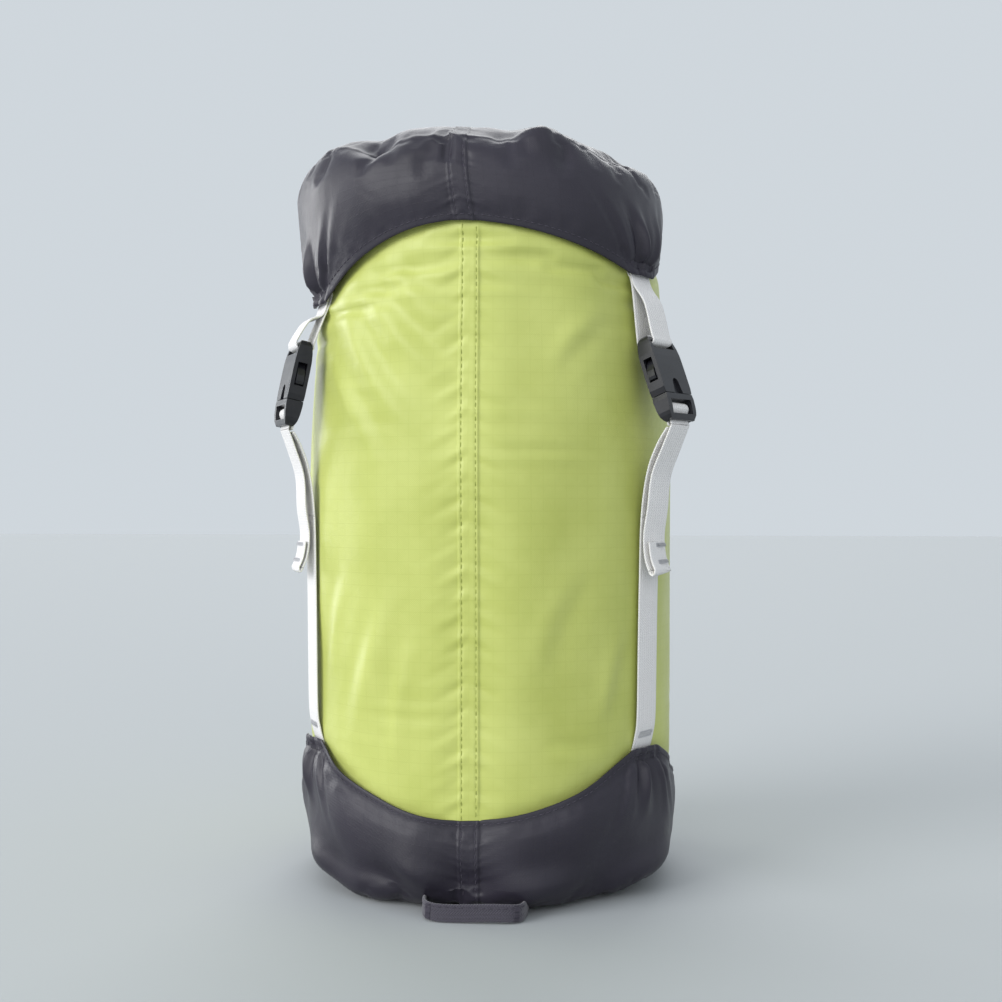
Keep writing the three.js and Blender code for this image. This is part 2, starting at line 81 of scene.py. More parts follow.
# Each strap's place round the sack and how its buckle sits, as in the CAD, in degrees and mm. bow is how
# far it stands off the body, and the tabs are the heights of the two caps' edges over it.
STATIONS = {
    "left": dict(azimuth=-62, radius=95, height=223, tilt=12, bow=1.2, lid_tab=259, base_tab=65),
    "right": dict(azimuth=58, radius=96.2, height=223, tilt=20, bow=2.2, lid_tab=269, base_tab=64),
    "back": dict(azimuth=178, radius=96, height=223, tilt=15, bow=1.6, lid_tab=263, base_tab=64),
}

SPLIT = 164 * MM  # where each strap's run passes from the body's cloth to its buckle


# ---------------------------------------------------------------- arrays of points
def polar(azimuth, radius, height):
    azimuth, radius, height = np.broadcast_arrays(azimuth, radius, height)
    return np.stack([radius * np.sin(azimuth), -radius * np.cos(azimuth), height], -1)


def smooth(low, high, value):
    share = np.clip((value - low) / (high - low), 0, 1)
    return share * share * (3 - 2 * share)


def bump(value, width):
    return np.exp(-((value / width) ** 2))


def all_round(count):
    """Even azimuths all the way round, from the back."""
    return np.arange(count) * 2 * math.pi / count - math.pi


def turn_to(azimuth, target):
    """The signed angle from target to azimuth, in radians."""
    return (azimuth - target + math.pi) % (2 * math.pi) - math.pi


def ripple(points, seed, wavelength, squeeze=(1, 1, 1), count=14):
    """A smooth random field over space, mostly from -1.5 to 1.5."""
    pick = np.random.default_rng(seed)
    waves = pick.normal(size=(count, 3))
    waves /= np.linalg.norm(waves, axis=1, keepdims=True)
    waves *= 2 * math.pi / wavelength * pick.uniform(0.6, 1.5, (count, 1))
    phase = pick.uniform(0, 2 * math.pi, count)
    return np.sin((points * np.array(squeeze)) @ waves.T + phase).sum(-1) / math.sqrt(count / 2)


def grid_normals(points):
    """Outward normals of a grid whose columns wrap round and whose rows go up or inwards."""
    along = np.gradient(points, axis=0)
    around = np.roll(points, -1, 1) - np.roll(points, 1, 1)
    normal = np.cross(around, along)
    return normal / np.maximum(np.linalg.norm(normal, axis=-1, keepdims=True), 1e-12)


def lengths_along(path):
    """Each point's distance from the first, along the path."""
    return np.concatenate([[0], np.cumsum(np.linalg.norm(np.diff(path, axis=0), axis=1))])


def cubic(points, where, wrap):
    """Catmull-Rom values of points, along axis 0, at fractional indices."""
    count = len(points)
    cell = np.floor(where).astype(int)
    if not wrap:
        cell = np.clip(cell, 0, count - 2)
    t = (where - cell).reshape(-1, *[1] * (points.ndim - 1))
    near = [cell + k for k in (-1, 0, 1, 2)]
    a, b, c, d = (points[i % count if wrap else np.clip(i, 0, count - 1)] for i in near)
    return b + 0.5 * t * (c - a + t * (2 * a - 5 * b + 4 * c - d + t * (3 * (b - c) + d - a)))


def resampled(points, rows, columns):
    """A wrapped grid read at fractional rows and columns."""
    across = cubic(np.swapaxes(points, 0, 1), columns, True)
    return cubic(np.swapaxes(across, 0, 1), rows, False)


# ---------------------------------------------------------------- meshes
def mesh_object(name, verts, faces, material, uv=None):
    mesh = bpy.data.meshes.new(name)
    mesh.from_pydata(np.asarray(verts).reshape(-1, 3).tolist(), [], faces)
    if uv is not None:
        layer = mesh.uv_layers.new(name="cloth")
        layer.data.foreach_set("uv", np.asarray(uv, dtype=np.float32).ravel())
    mesh.materials.append(material)
    mesh.update()
    mesh.validate()
    mesh.shade_smooth()
    piece = bpy.data.objects.new(name, mesh)
    bpy.context.scene.collection.objects.link(piece)
    return piece


def ring_faces(rows, columns):
    """Quads of a wrapped grid, and each corner's (row, column). The last column counts on past the wrap."""
    row, column = np.meshgrid(np.arange(rows - 1), np.arange(columns), indexing="ij")
    square = [row, column, row, column + 1, row + 1, column + 1, row + 1, column]
    corners = np.stack(square, -1).reshape(-1, 4, 2)
    faces = corners[..., 0] * columns + corners[..., 1] % columns
    return faces.tolist(), corners.reshape(-1, 2)


def end_faces(rows, sides):
    """The faces that close the two ends of a tube or tape."""
    return [list(range(sides))[::-1], [(rows - 1) * sides + k for k in range(sides)]]


def turn_outward(piece, rings, middle):
    """Flips the faces of a ring of points if they look towards its middle."""
    a, b, c = rings[0, 0], rings[0, 1], rings[1, 1]
    if np.cross(b - a, c - a) @ (a - middle) < 0:
        piece.data.flip_normals()


def wrapped_cloth(name, points, azimuths, lengths, material, closed_end=False, radius=BODY_RADIUS):
    """A mesh of a wrapped grid. Its UVs are in metres: along the girth and along the rows."""
    rows, columns = points.shape[:2]
    faces, corners = ring_faces(rows, columns)
    turns = np.append(azimuths, azimuths[0] + 2 * math.pi)
    uv = np.stack([turns[corners[:, 1]] * radius, lengths[corners[:, 0]]], -1)
    verts = points.reshape(-1, 3)
    if closed_end:
        tip = len(verts)
        verts = np.vstack([verts, points[-1].mean(0)])
        last = (rows - 1) * columns
        for i in range(columns):
            faces.append([last + i, last + (i + 1) % columns, tip])
        fan = [[turns[i + k % 2] * radius, lengths[-1]] for i in range(columns) for k in range(3)]
        uv = np.vstack([uv, fan])
    return mesh_object(name, verts, faces, material, uv)


def settled(points, hold, growth, pressure, frames, bending, outward=1):
    """The wrapped grid as cloth: cut larger by growth, held where hold is 1, and pressed out from inside.

    outward is -1 where the grid's faces look inward as they are wound.
    """
    scale = 10  # the solver works best on things about a metre across
    rows, columns = points.shape[:2]
    faces, _ = ring_faces(rows, columns)
    faces = [face[::outward] for face in faces]
    mesh = bpy.data.meshes.new("cloth_at_work")
    mesh.from_pydata((points.reshape(-1, 3) * scale).tolist(), [], faces)
    cloth = bpy.data.objects.new("cloth_at_work", mesh)
    bpy.context.scene.collection.objects.link(cloth)
    group = cloth.vertex_groups.new(name="hold")
    for index, weight in enumerate(np.broadcast_to(hold, points.shape[:2]).ravel()):
        group.add([index], float(weight), "REPLACE")
    modifier = cloth.modifiers.new("Cloth", "CLOTH")
    settings = modifier.settings
    settings.quality = 6
    settings.mass = 0.25
    settings.tension_stiffness = 30
    settings.compression_stiffness = 30
    settings.shear_stiffness = 12
    settings.bending_stiffness = bending
    settings.air_damping = 2
    settings.use_pressure = True
    settings.uniform_pressure_force = pressure
    settings.vertex_group_mass = "hold"
    settings.shrink_min = -growth
    settings.effector_weights.gravity = 0
    modifier.collision_settings.use_collision = False
    modifier.collision_settings.use_self_collision = False
    modifier.point_cache.frame_end = frames + 1
    for step in range(1, frames + 1):
        bpy.context.scene.frame_set(step)
    done = cloth.evaluated_get(bpy.context.evaluated_depsgraph_get()).to_mesh()
    moved = np.empty(len(done.vertices) * 3, dtype=np.float32)
    done.vertices.foreach_get("co", moved)
    bpy.data.objects.remove(cloth)
    bpy.context.scene.frame_set(1)
    return moved.reshape(points.shape).astype(float) / scale


# ---------------------------------------------------------------- materials
def shader(name, color, roughness, **values):
    material = bpy.data.materials.new(name)
    material.use_nodes = True
    bsdf = material.node_tree.nodes["Principled BSDF"]
    bsdf.inputs["Base Color"].default_value = (*color, 1)
    bsdf.inputs["Roughness"].default_value = roughness
    for key, value in values.items():
        bsdf.inputs[key.replace("_", " ")].default_value = value
    return material, bsdf


def add_node(material, kind, settings=None, **inputs):
    """A new node, with its settings, and its inputs linked or set."""
    node = material.node_tree.nodes.new(kind)
    for key, value in (settings or {}).items():
        setattr(node, key, value)
    for key, value in inputs.items():
        socket = node.inputs[int(key[1:])] if key[1:].isdigit() else node.inputs[key.replace("_", " ")]
        if isinstance(value, bpy.types.NodeSocket):
            material.node_tree.links.new(value, socket)
        else:
            socket.default_value = value
    return node


def math_node(material, operation, a, b=0.0, c=0.0):
    return add_node(material, "ShaderNodeMath", {"operation": operation}, i0=a, i1=b, i2=c).outputs[0]


def link(material, output, socket):
    material.node_tree.links.new(output, socket)


def noise_of(material, coordinates, scale, detail=3.0, roughness=0.5, distortion=0.0, kind="FBM"):
    node = add_node(
        material,
        "ShaderNodeTexNoise",
        {"noise_type": kind, "normalize": True},
        Vector=coordinates,
        Scale=scale,
        Detail=detail,
        Roughness=roughness,
        Distortion=distortion,
    )
    return node.outputs[0]


def two_tone(material, factor, first, second):
    ramp = add_node(material, "ShaderNodeValToRGB", Fac=factor)
    ramp.color_ramp.elements[0].position = 0.3
    ramp.color_ramp.elements[1].position = 0.7
    ramp.color_ramp.elements[0].color = (*first, 1)
    ramp.color_ramp.elements[1].color = (*second, 1)
    return ramp.outputs[0]


def threads_of(material, uv, pitch):
    """Two sets of fine ridges, along and across the cloth, from -1 to 1."""
    split = add_node(material, "ShaderNodeSeparateXYZ", Vector=uv)
    ridges = []
    for axis in (0, 1):
        turns = math_node(material, "MULTIPLY", split.outputs[axis], 2 * math.pi / pitch)
        ridges.append(math_node(material, "SINE", turns))
    return ridges


def ripstop_lines(material, uv, pitch, width):
    """A square grid of thicker yarns, 1 on a yarn and 0 between."""
    split = add_node(material, "ShaderNodeSeparateXYZ", Vector=uv)
    lines = []
    for axis in (0, 1):
        off = math_node(material, "PINGPONG", split.outputs[axis], pitch / 2)
        lines.append(math_node(material, "LESS_THAN", off, width / 2))
    return math_node(material, "MAXIMUM", *lines)


def nylon(name, dark, light, roughness, sheen, crinkle):
    """Thin, close-woven ripstop nylon with a satin face and small crinkles."""
    material, bsdf = shader(name, light, roughness, Sheen_Weight=sheen, Sheen_Roughness=0.35)
    bsdf.inputs["Specular IOR Level"].default_value = 0.4
    place = add_node(material, "ShaderNodeTexCoord")
    uv = place.outputs["UV"]
    space = place.outputs["Object"]
    lines = ripstop_lines(material, uv, 5.2 * MM, 0.5 * MM)
    warp, weft = threads_of(material, uv, 0.9 * MM)
    weave = math_node(material, "MULTIPLY", warp, weft)
    cloudy = noise_of(material, space, 22, 4, 0.55)
    tone = math_node(material, "MULTIPLY_ADD", lines, -0.06, cloudy)
    link(material, two_tone(material, tone, dark, light), bsdf.inputs["Base Color"])
    blotch = noise_of(material, space, 55, 3)
    rough = math_node(material, "MULTIPLY_ADD", blotch, 0.22, roughness - 0.11)
    link(material, rough, bsdf.inputs["Roughness"])
    soft = noise_of(material, space, 42, 5, 0.6, 0.6)
    sharp = noise_of(material, space, 75, 3, 0.5, 0.9, "RIDGED_MULTIFRACTAL")
    folds = math_node(material, "MULTIPLY_ADD", sharp, 0.35, soft)
    large = add_node(material, "ShaderNodeBump", Height=folds, Strength=crinkle, Distance=2.2 * MM)
    yarn = math_node(material, "MULTIPLY_ADD", lines, 1.0, weave)
    fine = add_node(
        material, "ShaderNodeBump", Height=yarn, Strength=0.35, Distance=0.06 * MM, Normal=large.outputs[0]
    )
    link(material, fine.outputs[0], bsdf.inputs["Normal"])
    return material


def webbing_cloth(name, dark, light):
    """Flat woven tape: ribs across it, coloured in two tones by painted shade in their grooves, with a slight
    fuzz.
    """
    material, bsdf = shader(name, light, 0.78, Sheen_Weight=0.3, Sheen_Roughness=0.5)
    place = add_node(material, "ShaderNodeTexCoord")
    uv = place.outputs["UV"]
    split = add_node(material, "ShaderNodeSeparateXYZ", Vector=uv)
    lean = math_node(material, "PINGPONG", split.outputs[0], 1.6 * MM)
    slant = math_node(material, "ADD", split.outputs[1], lean)
    turns = math_node(material, "MULTIPLY", slant, 2 * math.pi / (1.15 * MM))
    ribs = math_node(material, "SINE", turns)
    columns = math_node(material, "MULTIPLY", split.outputs[0], 2 * math.pi / (1.6 * MM))
    cords = math_node(material, "SINE", columns)
    height = math_node(material, "MULTIPLY_ADD", cords, 0.5, ribs)
    # Painted shade: the tape's colour is darker where its ribs are low and lighter on their crests.
    shade = math_node(material, "MULTIPLY_ADD", height, 0.16, 0.5)
    fuzz = noise_of(material, place.outputs["Object"], 900, 2)
    # Random fuzz mixed with the painted groove shade.
    fuzz_and_groove_shade = math_node(material, "MULTIPLY_ADD", fuzz, 0.3, shade)
    link(material, two_tone(material, fuzz_and_groove_shade, dark, light), bsdf.inputs["Base Color"])
    relief = add_node(material, "ShaderNodeBump", Height=height, Strength=0.6, Distance=0.16 * MM)
    grain = add_node(
        material, "ShaderNodeBump", Height=fuzz, Strength=0.3, Distance=0.1 * MM, Normal=relief.outputs[0]
    )
    link(material, grain.outputs[0], bsdf.inputs["Normal"])
    return material


def moulded(name, color, roughness):
    """Injection-moulded nylon or acetal with a very fine spark finish and random lighter smears."""
    material, bsdf = shader(name, color, roughness, Coat_Weight=0.08, Coat_Roughness=0.25)
    bsdf.inputs["Specular IOR Level"].default_value = 0.3
    space = add_node(material, "ShaderNodeTexCoord").outputs["Object"]
    grain = noise_of(material, space, 2600, 2)
    smears = noise_of(material, space, 140, 4)
    rough = math_node(material, "MULTIPLY_ADD", smears, 0.16, roughness - 0.08)
    link(material, rough, bsdf.inputs["Roughness"])
    tone = two_tone(material, smears, color, tuple(1.5 * c + 0.003 for c in color))
    link(material, tone, bsdf.inputs["Base Color"])
    relief = add_node(material, "ShaderNodeBump", Height=grain, Strength=0.12, Distance=0.05 * MM)
    link(material, relief.outputs[0], bsdf.inputs["Normal"])
    return material


def braid(name, dark, light, turn):
    """A braided cord: its UVs run round it and along it, both in metres."""
    material, bsdf = shader(name, light, 0.75)
    uv = add_node(material, "ShaderNodeTexCoord").outputs["UV"]
    split = add_node(material, "ShaderNodeSeparateXYZ", Vector=uv)
    waves = []
    for lean in (1, -1):
        slant = math_node(material, "MULTIPLY_ADD", split.outputs[0], lean, split.outputs[1])
        waves.append(math_node(material, "SINE", math_node(material, "MULTIPLY", slant, 2 * math.pi / turn)))
    height = math_node(material, "MAXIMUM", *waves)
    # Painted shade: the cord's colour is darker in the grooves between its strands and lighter on their
    # crests.
    shade = math_node(material, "MULTIPLY_ADD", height, 0.3, 0.45)
    link(material, two_tone(material, shade, dark, light), bsdf.inputs["Base Color"])
    relief = add_node(material, "ShaderNodeBump", Height=height, Strength=0.8, Distance=0.2 * MM)
    link(material, relief.outputs[0], bsdf.inputs["Normal"])
    return material


def metal(name):
    material, bsdf = shader(name, (0.56, 0.56, 0.58), 0.3, Metallic=1.0)
    space = add_node(material, "ShaderNodeTexCoord").outputs["Object"]
    rough = math_node(material, "MULTIPLY_ADD", noise_of(material, space, 700, 3), 0.25, 0.18)
    link(material, rough, bsdf.inputs["Roughness"])
    return material


GREEN = nylon("green_nylon", (0.43, 0.475, 0.11), (0.53, 0.575, 0.165), roughness=0.4, sheen=0.1, crinkle=0.13)
DARK = nylon(
    "charcoal_nylon", (0.016, 0.0135, 0.022), (0.025, 0.0215, 0.033), roughness=0.42, sheen=0.03, crinkle=0.15
)
WEB = webbing_cloth("pale_webbing", (0.5, 0.49, 0.49), (0.84, 0.82, 0.81))
DARK_WEB = webbing_cloth("dark_tape", (0.022, 0.019, 0.03), (0.05, 0.044, 0.062))
PLASTIC = moulded("black_acetal", (0.012, 0.012, 0.015), 0.3)
GREEN_THREAD = braid("green_thread", (0.33, 0.39, 0.06), (0.45, 0.51, 0.11), 0.5 * MM)
DARK_THREAD = braid("dark_thread", (0.03, 0.027, 0.04), (0.09, 0.08, 0.11), 0.5 * MM)
PALE_THREAD = braid("pale_thread", (0.4, 0.4, 0.42), (0.66, 0.66, 0.68), 0.5 * MM)
CORD = braid("dark_cord", (0.012, 0.011, 0.016), (0.05, 0.047, 0.062), 1.3 * MM)
STEEL = metal("nickel")


# ---------------------------------------------------------------- thread
class Thread:
    """Stitches gathered into one mesh: each a short raised dash with its ends sunk into the cloth."""

    SIDES = 6
    # Each ring's place along the stitch, its size, and its height over the cloth in radii.
    RINGS = ((-0.5, 0.4, -0.7), (-0.36, 1.0, 0.25), (0.0, 1.0, 0.5), (0.36, 1.0, 0.25), (0.5, 0.4, -0.7))

    def __init__(self, radius=0.2 * MM):
        self.radius = radius
        self.dashes = []

    def line(self, path, normals, pitch=3.0 * MM, gap=0.9 * MM):
        """Even stitches along a path."""
        path = np.asarray(path, dtype=float)
        length = lengths_along(path)
        starts = np.arange(0.4 * pitch, length[-1] - pitch, pitch)

        def at(where, values):
            return np.stack([np.interp(where, length, values[:, k]) for k in range(3)], -1)

        first = at(starts, path)
        last = at(starts + pitch - gap, path)
        out = at(starts + (pitch - gap) / 2, np.asarray(normals, dtype=float))
        for a, b, n in zip(first, last, out):
            self.dashes.append((a, b, n))

    def tack(self, centre, across, along, normal, width, height, rows=9):
        """A bar tack: close parallel stitches over a small block."""
        for k in range(rows):
            shift = across * width * ((k + 0.5) / rows - 0.5)
            reach = along * height / 2 + across * width / rows * 0.4
            self.dashes.append((centre + shift - reach, centre + shift + reach, normal))
        for end in (-1, 1):
            middle = centre + end * along * height * 0.42
            half = across * width / 2
            self.dashes.append((middle - half, middle + half, normal))

    def build(self, name, material):
        angles = np.arange(self.SIDES) * 2 * math.pi / self.SIDES
        verts, faces, uv = [], [], []
        for a, b, n in self.dashes:
            along = b - a
            side = np.cross(n, along)
            side /= max(np.linalg.norm(side), 1e-12)
            lift = n / max(np.linalg.norm(n), 1e-12)
            base = len(verts)
            for share, size, height in self.RINGS:
                centre = (a + b) / 2 + along * share + lift * self.radius * height
                for angle in angles:
                    around = math.cos(angle) * side + math.sin(angle) * lift
                    verts.append(centre + self.radius * size * around)
            count = self.SIDES
            for ring in range(len(self.RINGS) - 1):
                for k in range(count):
                    low = base + ring * count
                    after = low + (k + 1) % count
                    faces.append([low + k, after, after + count, low + k + count])
                    for r, c in ((ring, k), (ring, k + 1), (ring + 1, k + 1), (ring + 1, k)):
                        uv.append((c * self.radius, r * 0.5 * MM))
            top = base + (len(self.RINGS) - 1) * count
            for ring, order in ((base, range(count - 1, -1, -1)), (top, range(count))):
                faces.append([ring + k for k in order])
                uv.extend((k * self.radius, 0.0) for k in order)
        return mesh_object(name, verts, faces, material, uv)


# ---------------------------------------------------------------- the caps' edges
def tab_height(azimuth, key):
    """The height of the tab of the strap that shares this azimuth's sector."""
    height = np.zeros_like(azimuth)
    for station in STATIONS.values():
        near = np.abs(turn_to(azimuth, station["azimuth"] * DEG)) <= (SECTOR_HALF + 0.001) * DEG
        height = np.where(near, station[key] * MM, height)
    return height


def cap_edge(azimuth, apex, key):
    """A cap's scalloped edge: drawn back to its apex at the seams, and furthest out over each strap."""
    places = [station["azimuth"] * DEG for station in STATIONS.values()]
    off_strap = np.min([np.abs(turn_to(azimuth, place)) for place in places], axis=0) / DEG
    share = np.clip((SECTOR_HALF - off_strap) / (SECTOR_HALF - TAB_HALF), 0, 1)
    return apex + (tab_height(azimuth, key) - apex) * share**1.8


def taper(azimuth, height):
    """How much narrower the stuffed sack is near its top, with a hollow beside the right strap."""
    whole = smooth(195 * MM, 290 * MM, height) * (3.2 - 1.4 * np.sin(azimuth))
    hollow = 7 * bump(turn_to(azimuth, 96 * DEG), 23 * DEG) * smooth(212 * MM, 254 * MM, height)
    return (whole + hollow) * MM


def lid_edge(azimuth):
    return cap_edge(azimuth, LID_APEX, "lid_tab")


def base_edge(azimuth):
    return cap_edge(azimuth, BASE_APEX, "base_tab")


def fine_azimuths(coarse, tabs=False):
    """Azimuths all round, closer together over each seam and, on a cap, over each strap's tab."""
    places = [(seam, 6 * MM, 0.5 * MM) for seam in SEAMS]
    if tabs:
        places += [(station["azimuth"], 15 * MM, 0.75 * MM) for station in STATIONS.values()]
    azimuths = all_round(coarse)
    for centre, half, step in places:
        near = turn_to(centre * DEG + np.arange(-half, half + step / 2, step) / BODY_RADIUS, 0)
        clear = [np.min(np.abs(turn_to(near, a))) > 0.6 * step / BODY_RADIUS for a in azimuths]
        azimuths = np.concatenate([azimuths[clear], near])
    return np.sort(azimuths)


def crease(azimuth, height, start, end, width, depth):
    """A soft fold along a line on the unrolled cloth: a ridge with a hollow below. Ends are (degrees, mm)."""
    across = azimuth * BODY_RADIUS
    a = np.array([start[0] * DEG * BODY_RADIUS, start[1] * MM])
    b = np.array([end[0] * DEG * BODY_RADIUS, end[1] * MM])
    run = b - a
    length = np.linalg.norm(run)
    run /= length
    along = ((across - a[0]) * run[0] + (height - a[1]) * run[1]) / length
    off = ((across - a[0]) * -run[1] + (height - a[1]) * run[0]) / (width * MM)
    off = off + 0.35 * np.sin(along * 5 + start[1])
    fade = np.sin(math.pi * np.clip(along, 0, 1)) ** 1.5
    return depth * MM * fade * (np.exp(-(off**2)) - 0.7 * np.exp(-((off - 1.3) ** 2) * 1.2))


def seam_relief(azimuth, along, pucker, seed):
    """A felled seam: a raised strip with a stitched groove each side, and the cloth drawn in along it."""
    relief = np.zeros(np.broadcast(azimuth, along).shape)
    for number, seam in enumerate(SEAMS):
        off = turn_to(azimuth, seam * DEG) * BODY_RADIUS
        strip = 0.8 * MM * (1 - smooth(STITCH_OFF + 0.8 * MM, STITCH_OFF + 1.5 * MM, np.abs(off)))
        groove = -0.3 * MM * bump(np.abs(off) - STITCH_OFF, 0.5 * MM)
        pull = -1.5 * MM * bump(off, 11 * MM)
        pick = np.random.default_rng(seed + number)
        wave = 0
        for wavelength, size in ((5.5, 0.4), (8.5, 0.6), (13, 0.6)):
            phase = pick.uniform(0, 2 * math.pi)
            slant = pick.uniform(0.3, 0.9) * np.abs(off)
            wave = wave + size * np.sin(2 * math.pi * (along + slant) / (wavelength * MM) + phase)
        drawn = pucker * MM * wave * bump(off, 12 * MM) * (1 - 0.6 * bump(off, 3 * MM))
        relief = relief + strip + groove + pull + drawn
    return relief


# ---------------------------------------------------------------- the body
BODY_LOW = 27 * MM
BODY_HIGH = 291 * MM


# The body's larger creases: their two ends as (degrees, mm), and their width and depth in mm.
CREASES = (
    ((-44, 268), (0, 216), 5.5, 1.9),
    ((-52, 262), (-12, 196), 5.5, 1.7),
    ((-34, 282), (0, 236), 5, 1.4),
    ((-52, 240), (-26, 180), 5, 1.2),
    ((-38, 60), (-24, 142), 6, 1.3),
    ((-24, 52), (-16, 118), 4.5, 1.0),
    ((-52, 84), (-40, 150), 5, 1.1),
    ((42, 256), (22, 224), 5, 1.0),
    ((50, 120), (36, 74), 5, 1.0),
    ((34, 150), (16, 96), 6, 0.8),
    ((20, 66), (40, 60), 4, 0.8),
    ((150, 250), (120, 200), 6, 1.3),
    ((-150, 240), (-118, 188), 6, 1.3),
    ((165, 70), (140, 130), 6, 1.2),
    ((95, 90), (112, 160), 6, 1.1),
    ((-98, 80), (-110, 150), 5, 1.1),
)


def body_cloth():
    """The three panels as one padded cloth, drawn in under the caps and pressed flat under the straps."""
    rows, columns = 70, 150
    height = np.linspace(BODY_LOW, BODY_HIGH, rows)[:, None]
    azimuth = all_round(columns)[None, :]
    over_base = smooth(-2 * MM, 9 * MM, height - base_edge(azimuth))
    open_share = over_base * smooth(-2 * MM, 9 * MM, lid_edge(azimuth) - height)
    radius = BODY_RADIUS - 2.2 * MM + 0.2 * MM * open_share
    radius = radius + 0.5 * MM * np.sin(math.pi * (height - BODY_LOW) / (BODY_HIGH - BODY_LOW)) * open_share
    radius = radius - taper(azimuth, height)
    start = polar(azimuth, radius, height)
    uneven = 0.004 * open_share * ripple(start, 3, 60 * MM, (1, 1, 0.6))
    start = start * (1 + uneven[..., None] * [1, 1, 0])
    strapped = np.zeros_like(start[..., 0])
    for station in STATIONS.values():
        off = turn_to(azimuth, station["azimuth"] * DEG) * BODY_RADIUS
        strapped = np.maximum(strapped, bump(off, 7 * MM) * (height < 170 * MM))
    hold = np.maximum(1 - open_share, 0.25 * strapped)
    hold = np.where(hold > 0.97, 1, hold * 0.6)
    loose = start
    loose = settled(start, hold, growth=0.006, pressure=7, frames=24, bending=1.5)
    fine = fine_azimuths(290)
    fine_rows = np.linspace(0, rows - 1, 168)
    where = (fine + math.pi) / (2 * math.pi) * columns
    points = resampled(loose, fine_rows, where)
    a = fine[None, :]
    z = points[..., 2]
    uncovered = resampled(open_share[..., None] + 0 * start[..., :1], fine_rows, where)[..., 0]
    push = seam_relief(a, z, 0.5, 11)
    for start_at, end_at, width, depth in CREASES:
        push = push + crease(a, z, start_at, end_at, width, depth)
    push = push + 0.35 * MM * ripple(points, 21, 42 * MM, (1, 1, 0.35))
    points = points + grid_normals(points) * (push * uncovered)[..., None]
    limit = CAP_RADIUS - 3.4 * MM - taper(a, z) + 40 * MM * uncovered
    for station in STATIONS.values():
        off = np.abs(turn_to(a, station["azimuth"] * DEG)) * BODY_RADIUS
        pressed = (ON_BODY - 0.9) * MM - 0.7 * MM * (1 - smooth(6 * MM, 8.5 * MM, off))
        free = 12 * MM * smooth(7.5 * MM, 24 * MM, off) + 20 * MM * smooth(175 * MM, 215 * MM, z)
        limit = np.minimum(limit, pressed + free)
    radius = np.hypot(points[..., 0], points[..., 1])
    trim = np.minimum(1, limit / radius)
    points[..., 0] *= trim
    points[..., 1] *= trim
    heights = np.linspace(BODY_LOW, BODY_HIGH, len(fine_rows))
    cloth = wrapped_cloth("body_cloth", points, fine, heights, GREEN)
    if grid_faces_in(points):
        cloth.data.flip_normals()
    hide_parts(*[f"body_panel_{name}" for name in STATIONS])
    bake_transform(cloth)
    stitch = Thread()
    columns_at = np.arange(len(fine))
    normals = grid_normals(points)
    for seam in SEAMS:
        for side in (-1, 1):
            place = turn_to(seam * DEG + side * STITCH_OFF / BODY_RADIUS, 0)
            column = np.array([np.interp(place, fine, columns_at)])
            path, out, share = (
                cubic(np.swapaxes(values, 0, 1), column, True)[0] for values in (points, normals, uncovered)
            )
            shown = share > 0.02
            stitch.line(path[shown], out[shown])
    thread = stitch.build("body_thread", GREEN_THREAD)
    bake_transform(thread)


def grid_faces_in(points):
    """True if the grid's faces, as wound, look towards the axis."""
    middle = len(points) // 2
    a, b, c = points[middle, 0], points[middle, 1], points[middle + 1, 1]
    normal = np.cross(b - a, c - a)
    return float(normal @ (a * [1, 1, 0])) < 0


# ---------------------------------------------------------------- the two caps
def hem_rows(points, flip):
    """Rows put before a cap's first: the edge turned under and folded flat against the inside."""
    depth, thick = 5 * MM, 0.9 * MM
    inward = -flip * grid_normals(points)[0]
    up = points[1] - points[0]
    up /= np.linalg.norm(up, axis=-1, keepdims=True)
    edge = points[0]
    return np.stack(
        [
            edge + up * depth + inward * thick,
            edge + up * 0.4 * MM + inward * thick,
            edge - up * 0.35 * MM + inward * thick * 0.75,
            edge - up * 0.35 * MM + inward * thick * 0.25,
        ]
    )


def cap_cloth(profile, hold, dents, rows, growth, pressure, seed, pucker, outward):
    """A cap as cloth. profile(azimuth, t) gives radius and height, from the edge, t 0, to the pole, t 1.

    hold(azimuth, t) is where it is held as it settles, and dents(...) what is then added to its surface.
    """
    columns = 144
    azimuth = all_round(columns)[None, :]
    t = np.linspace(0, 1, rows)[:, None]
    radius, height = profile(azimuth, t)
    start = polar(azimuth, radius, height)
    loose = start
    held = hold(azimuth, t)
    loose = settled(start, held, growth, pressure, frames=22, bending=0.4, outward=outward)
    fine = fine_azimuths(240, tabs=True)
    near_edge = 0.08  # rows are closer together out to this share, for the hem and its ruffle
    shares = np.concatenate([np.linspace(0, near_edge, 9)[:-1], np.linspace(near_edge, 1, 2 * rows)])
    fine_rows = (rows - 1) * shares
    where = (fine + math.pi) / (2 * math.pi) * columns
    points = resampled(loose, fine_rows, where)
    ideal = resampled(start, fine_rows, where)
    normal = grid_normals(points)
    flip = np.sign((normal[2] * ideal[2] * [1, 1, 0]).sum(-1).mean())
    normal = normal * flip
    share = fine_rows / (rows - 1)
    along = lengths_along(ideal[:, 0])
    a = fine[None, :]
    push = seam_relief(a, along[:, None] + 0 * a, pucker, seed) * (1 - smooth(0.6, 0.75, share))[:, None]
    points = points + normal * push[..., None] + dents(a, share[:, None], points, normal)
    return points, fine, along, share, flip


def finish_cap(name, points, fine, along, flip, nodes_replaced, body):
    """The cap's mesh, with its hem turned under, in place of its CAD nodes."""
    points = np.concatenate([hem_rows(points, flip), points])
    lengths = np.concatenate([[-5 * MM, -1 * MM, -0.6 * MM, -0.2 * MM], along])
    cap = wrapped_cloth(name, points, fine, lengths, DARK, closed_end=True)
    if flip < 0:
        cap.data.flip_normals()
    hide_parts(*nodes_replaced)
    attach(cap, body)


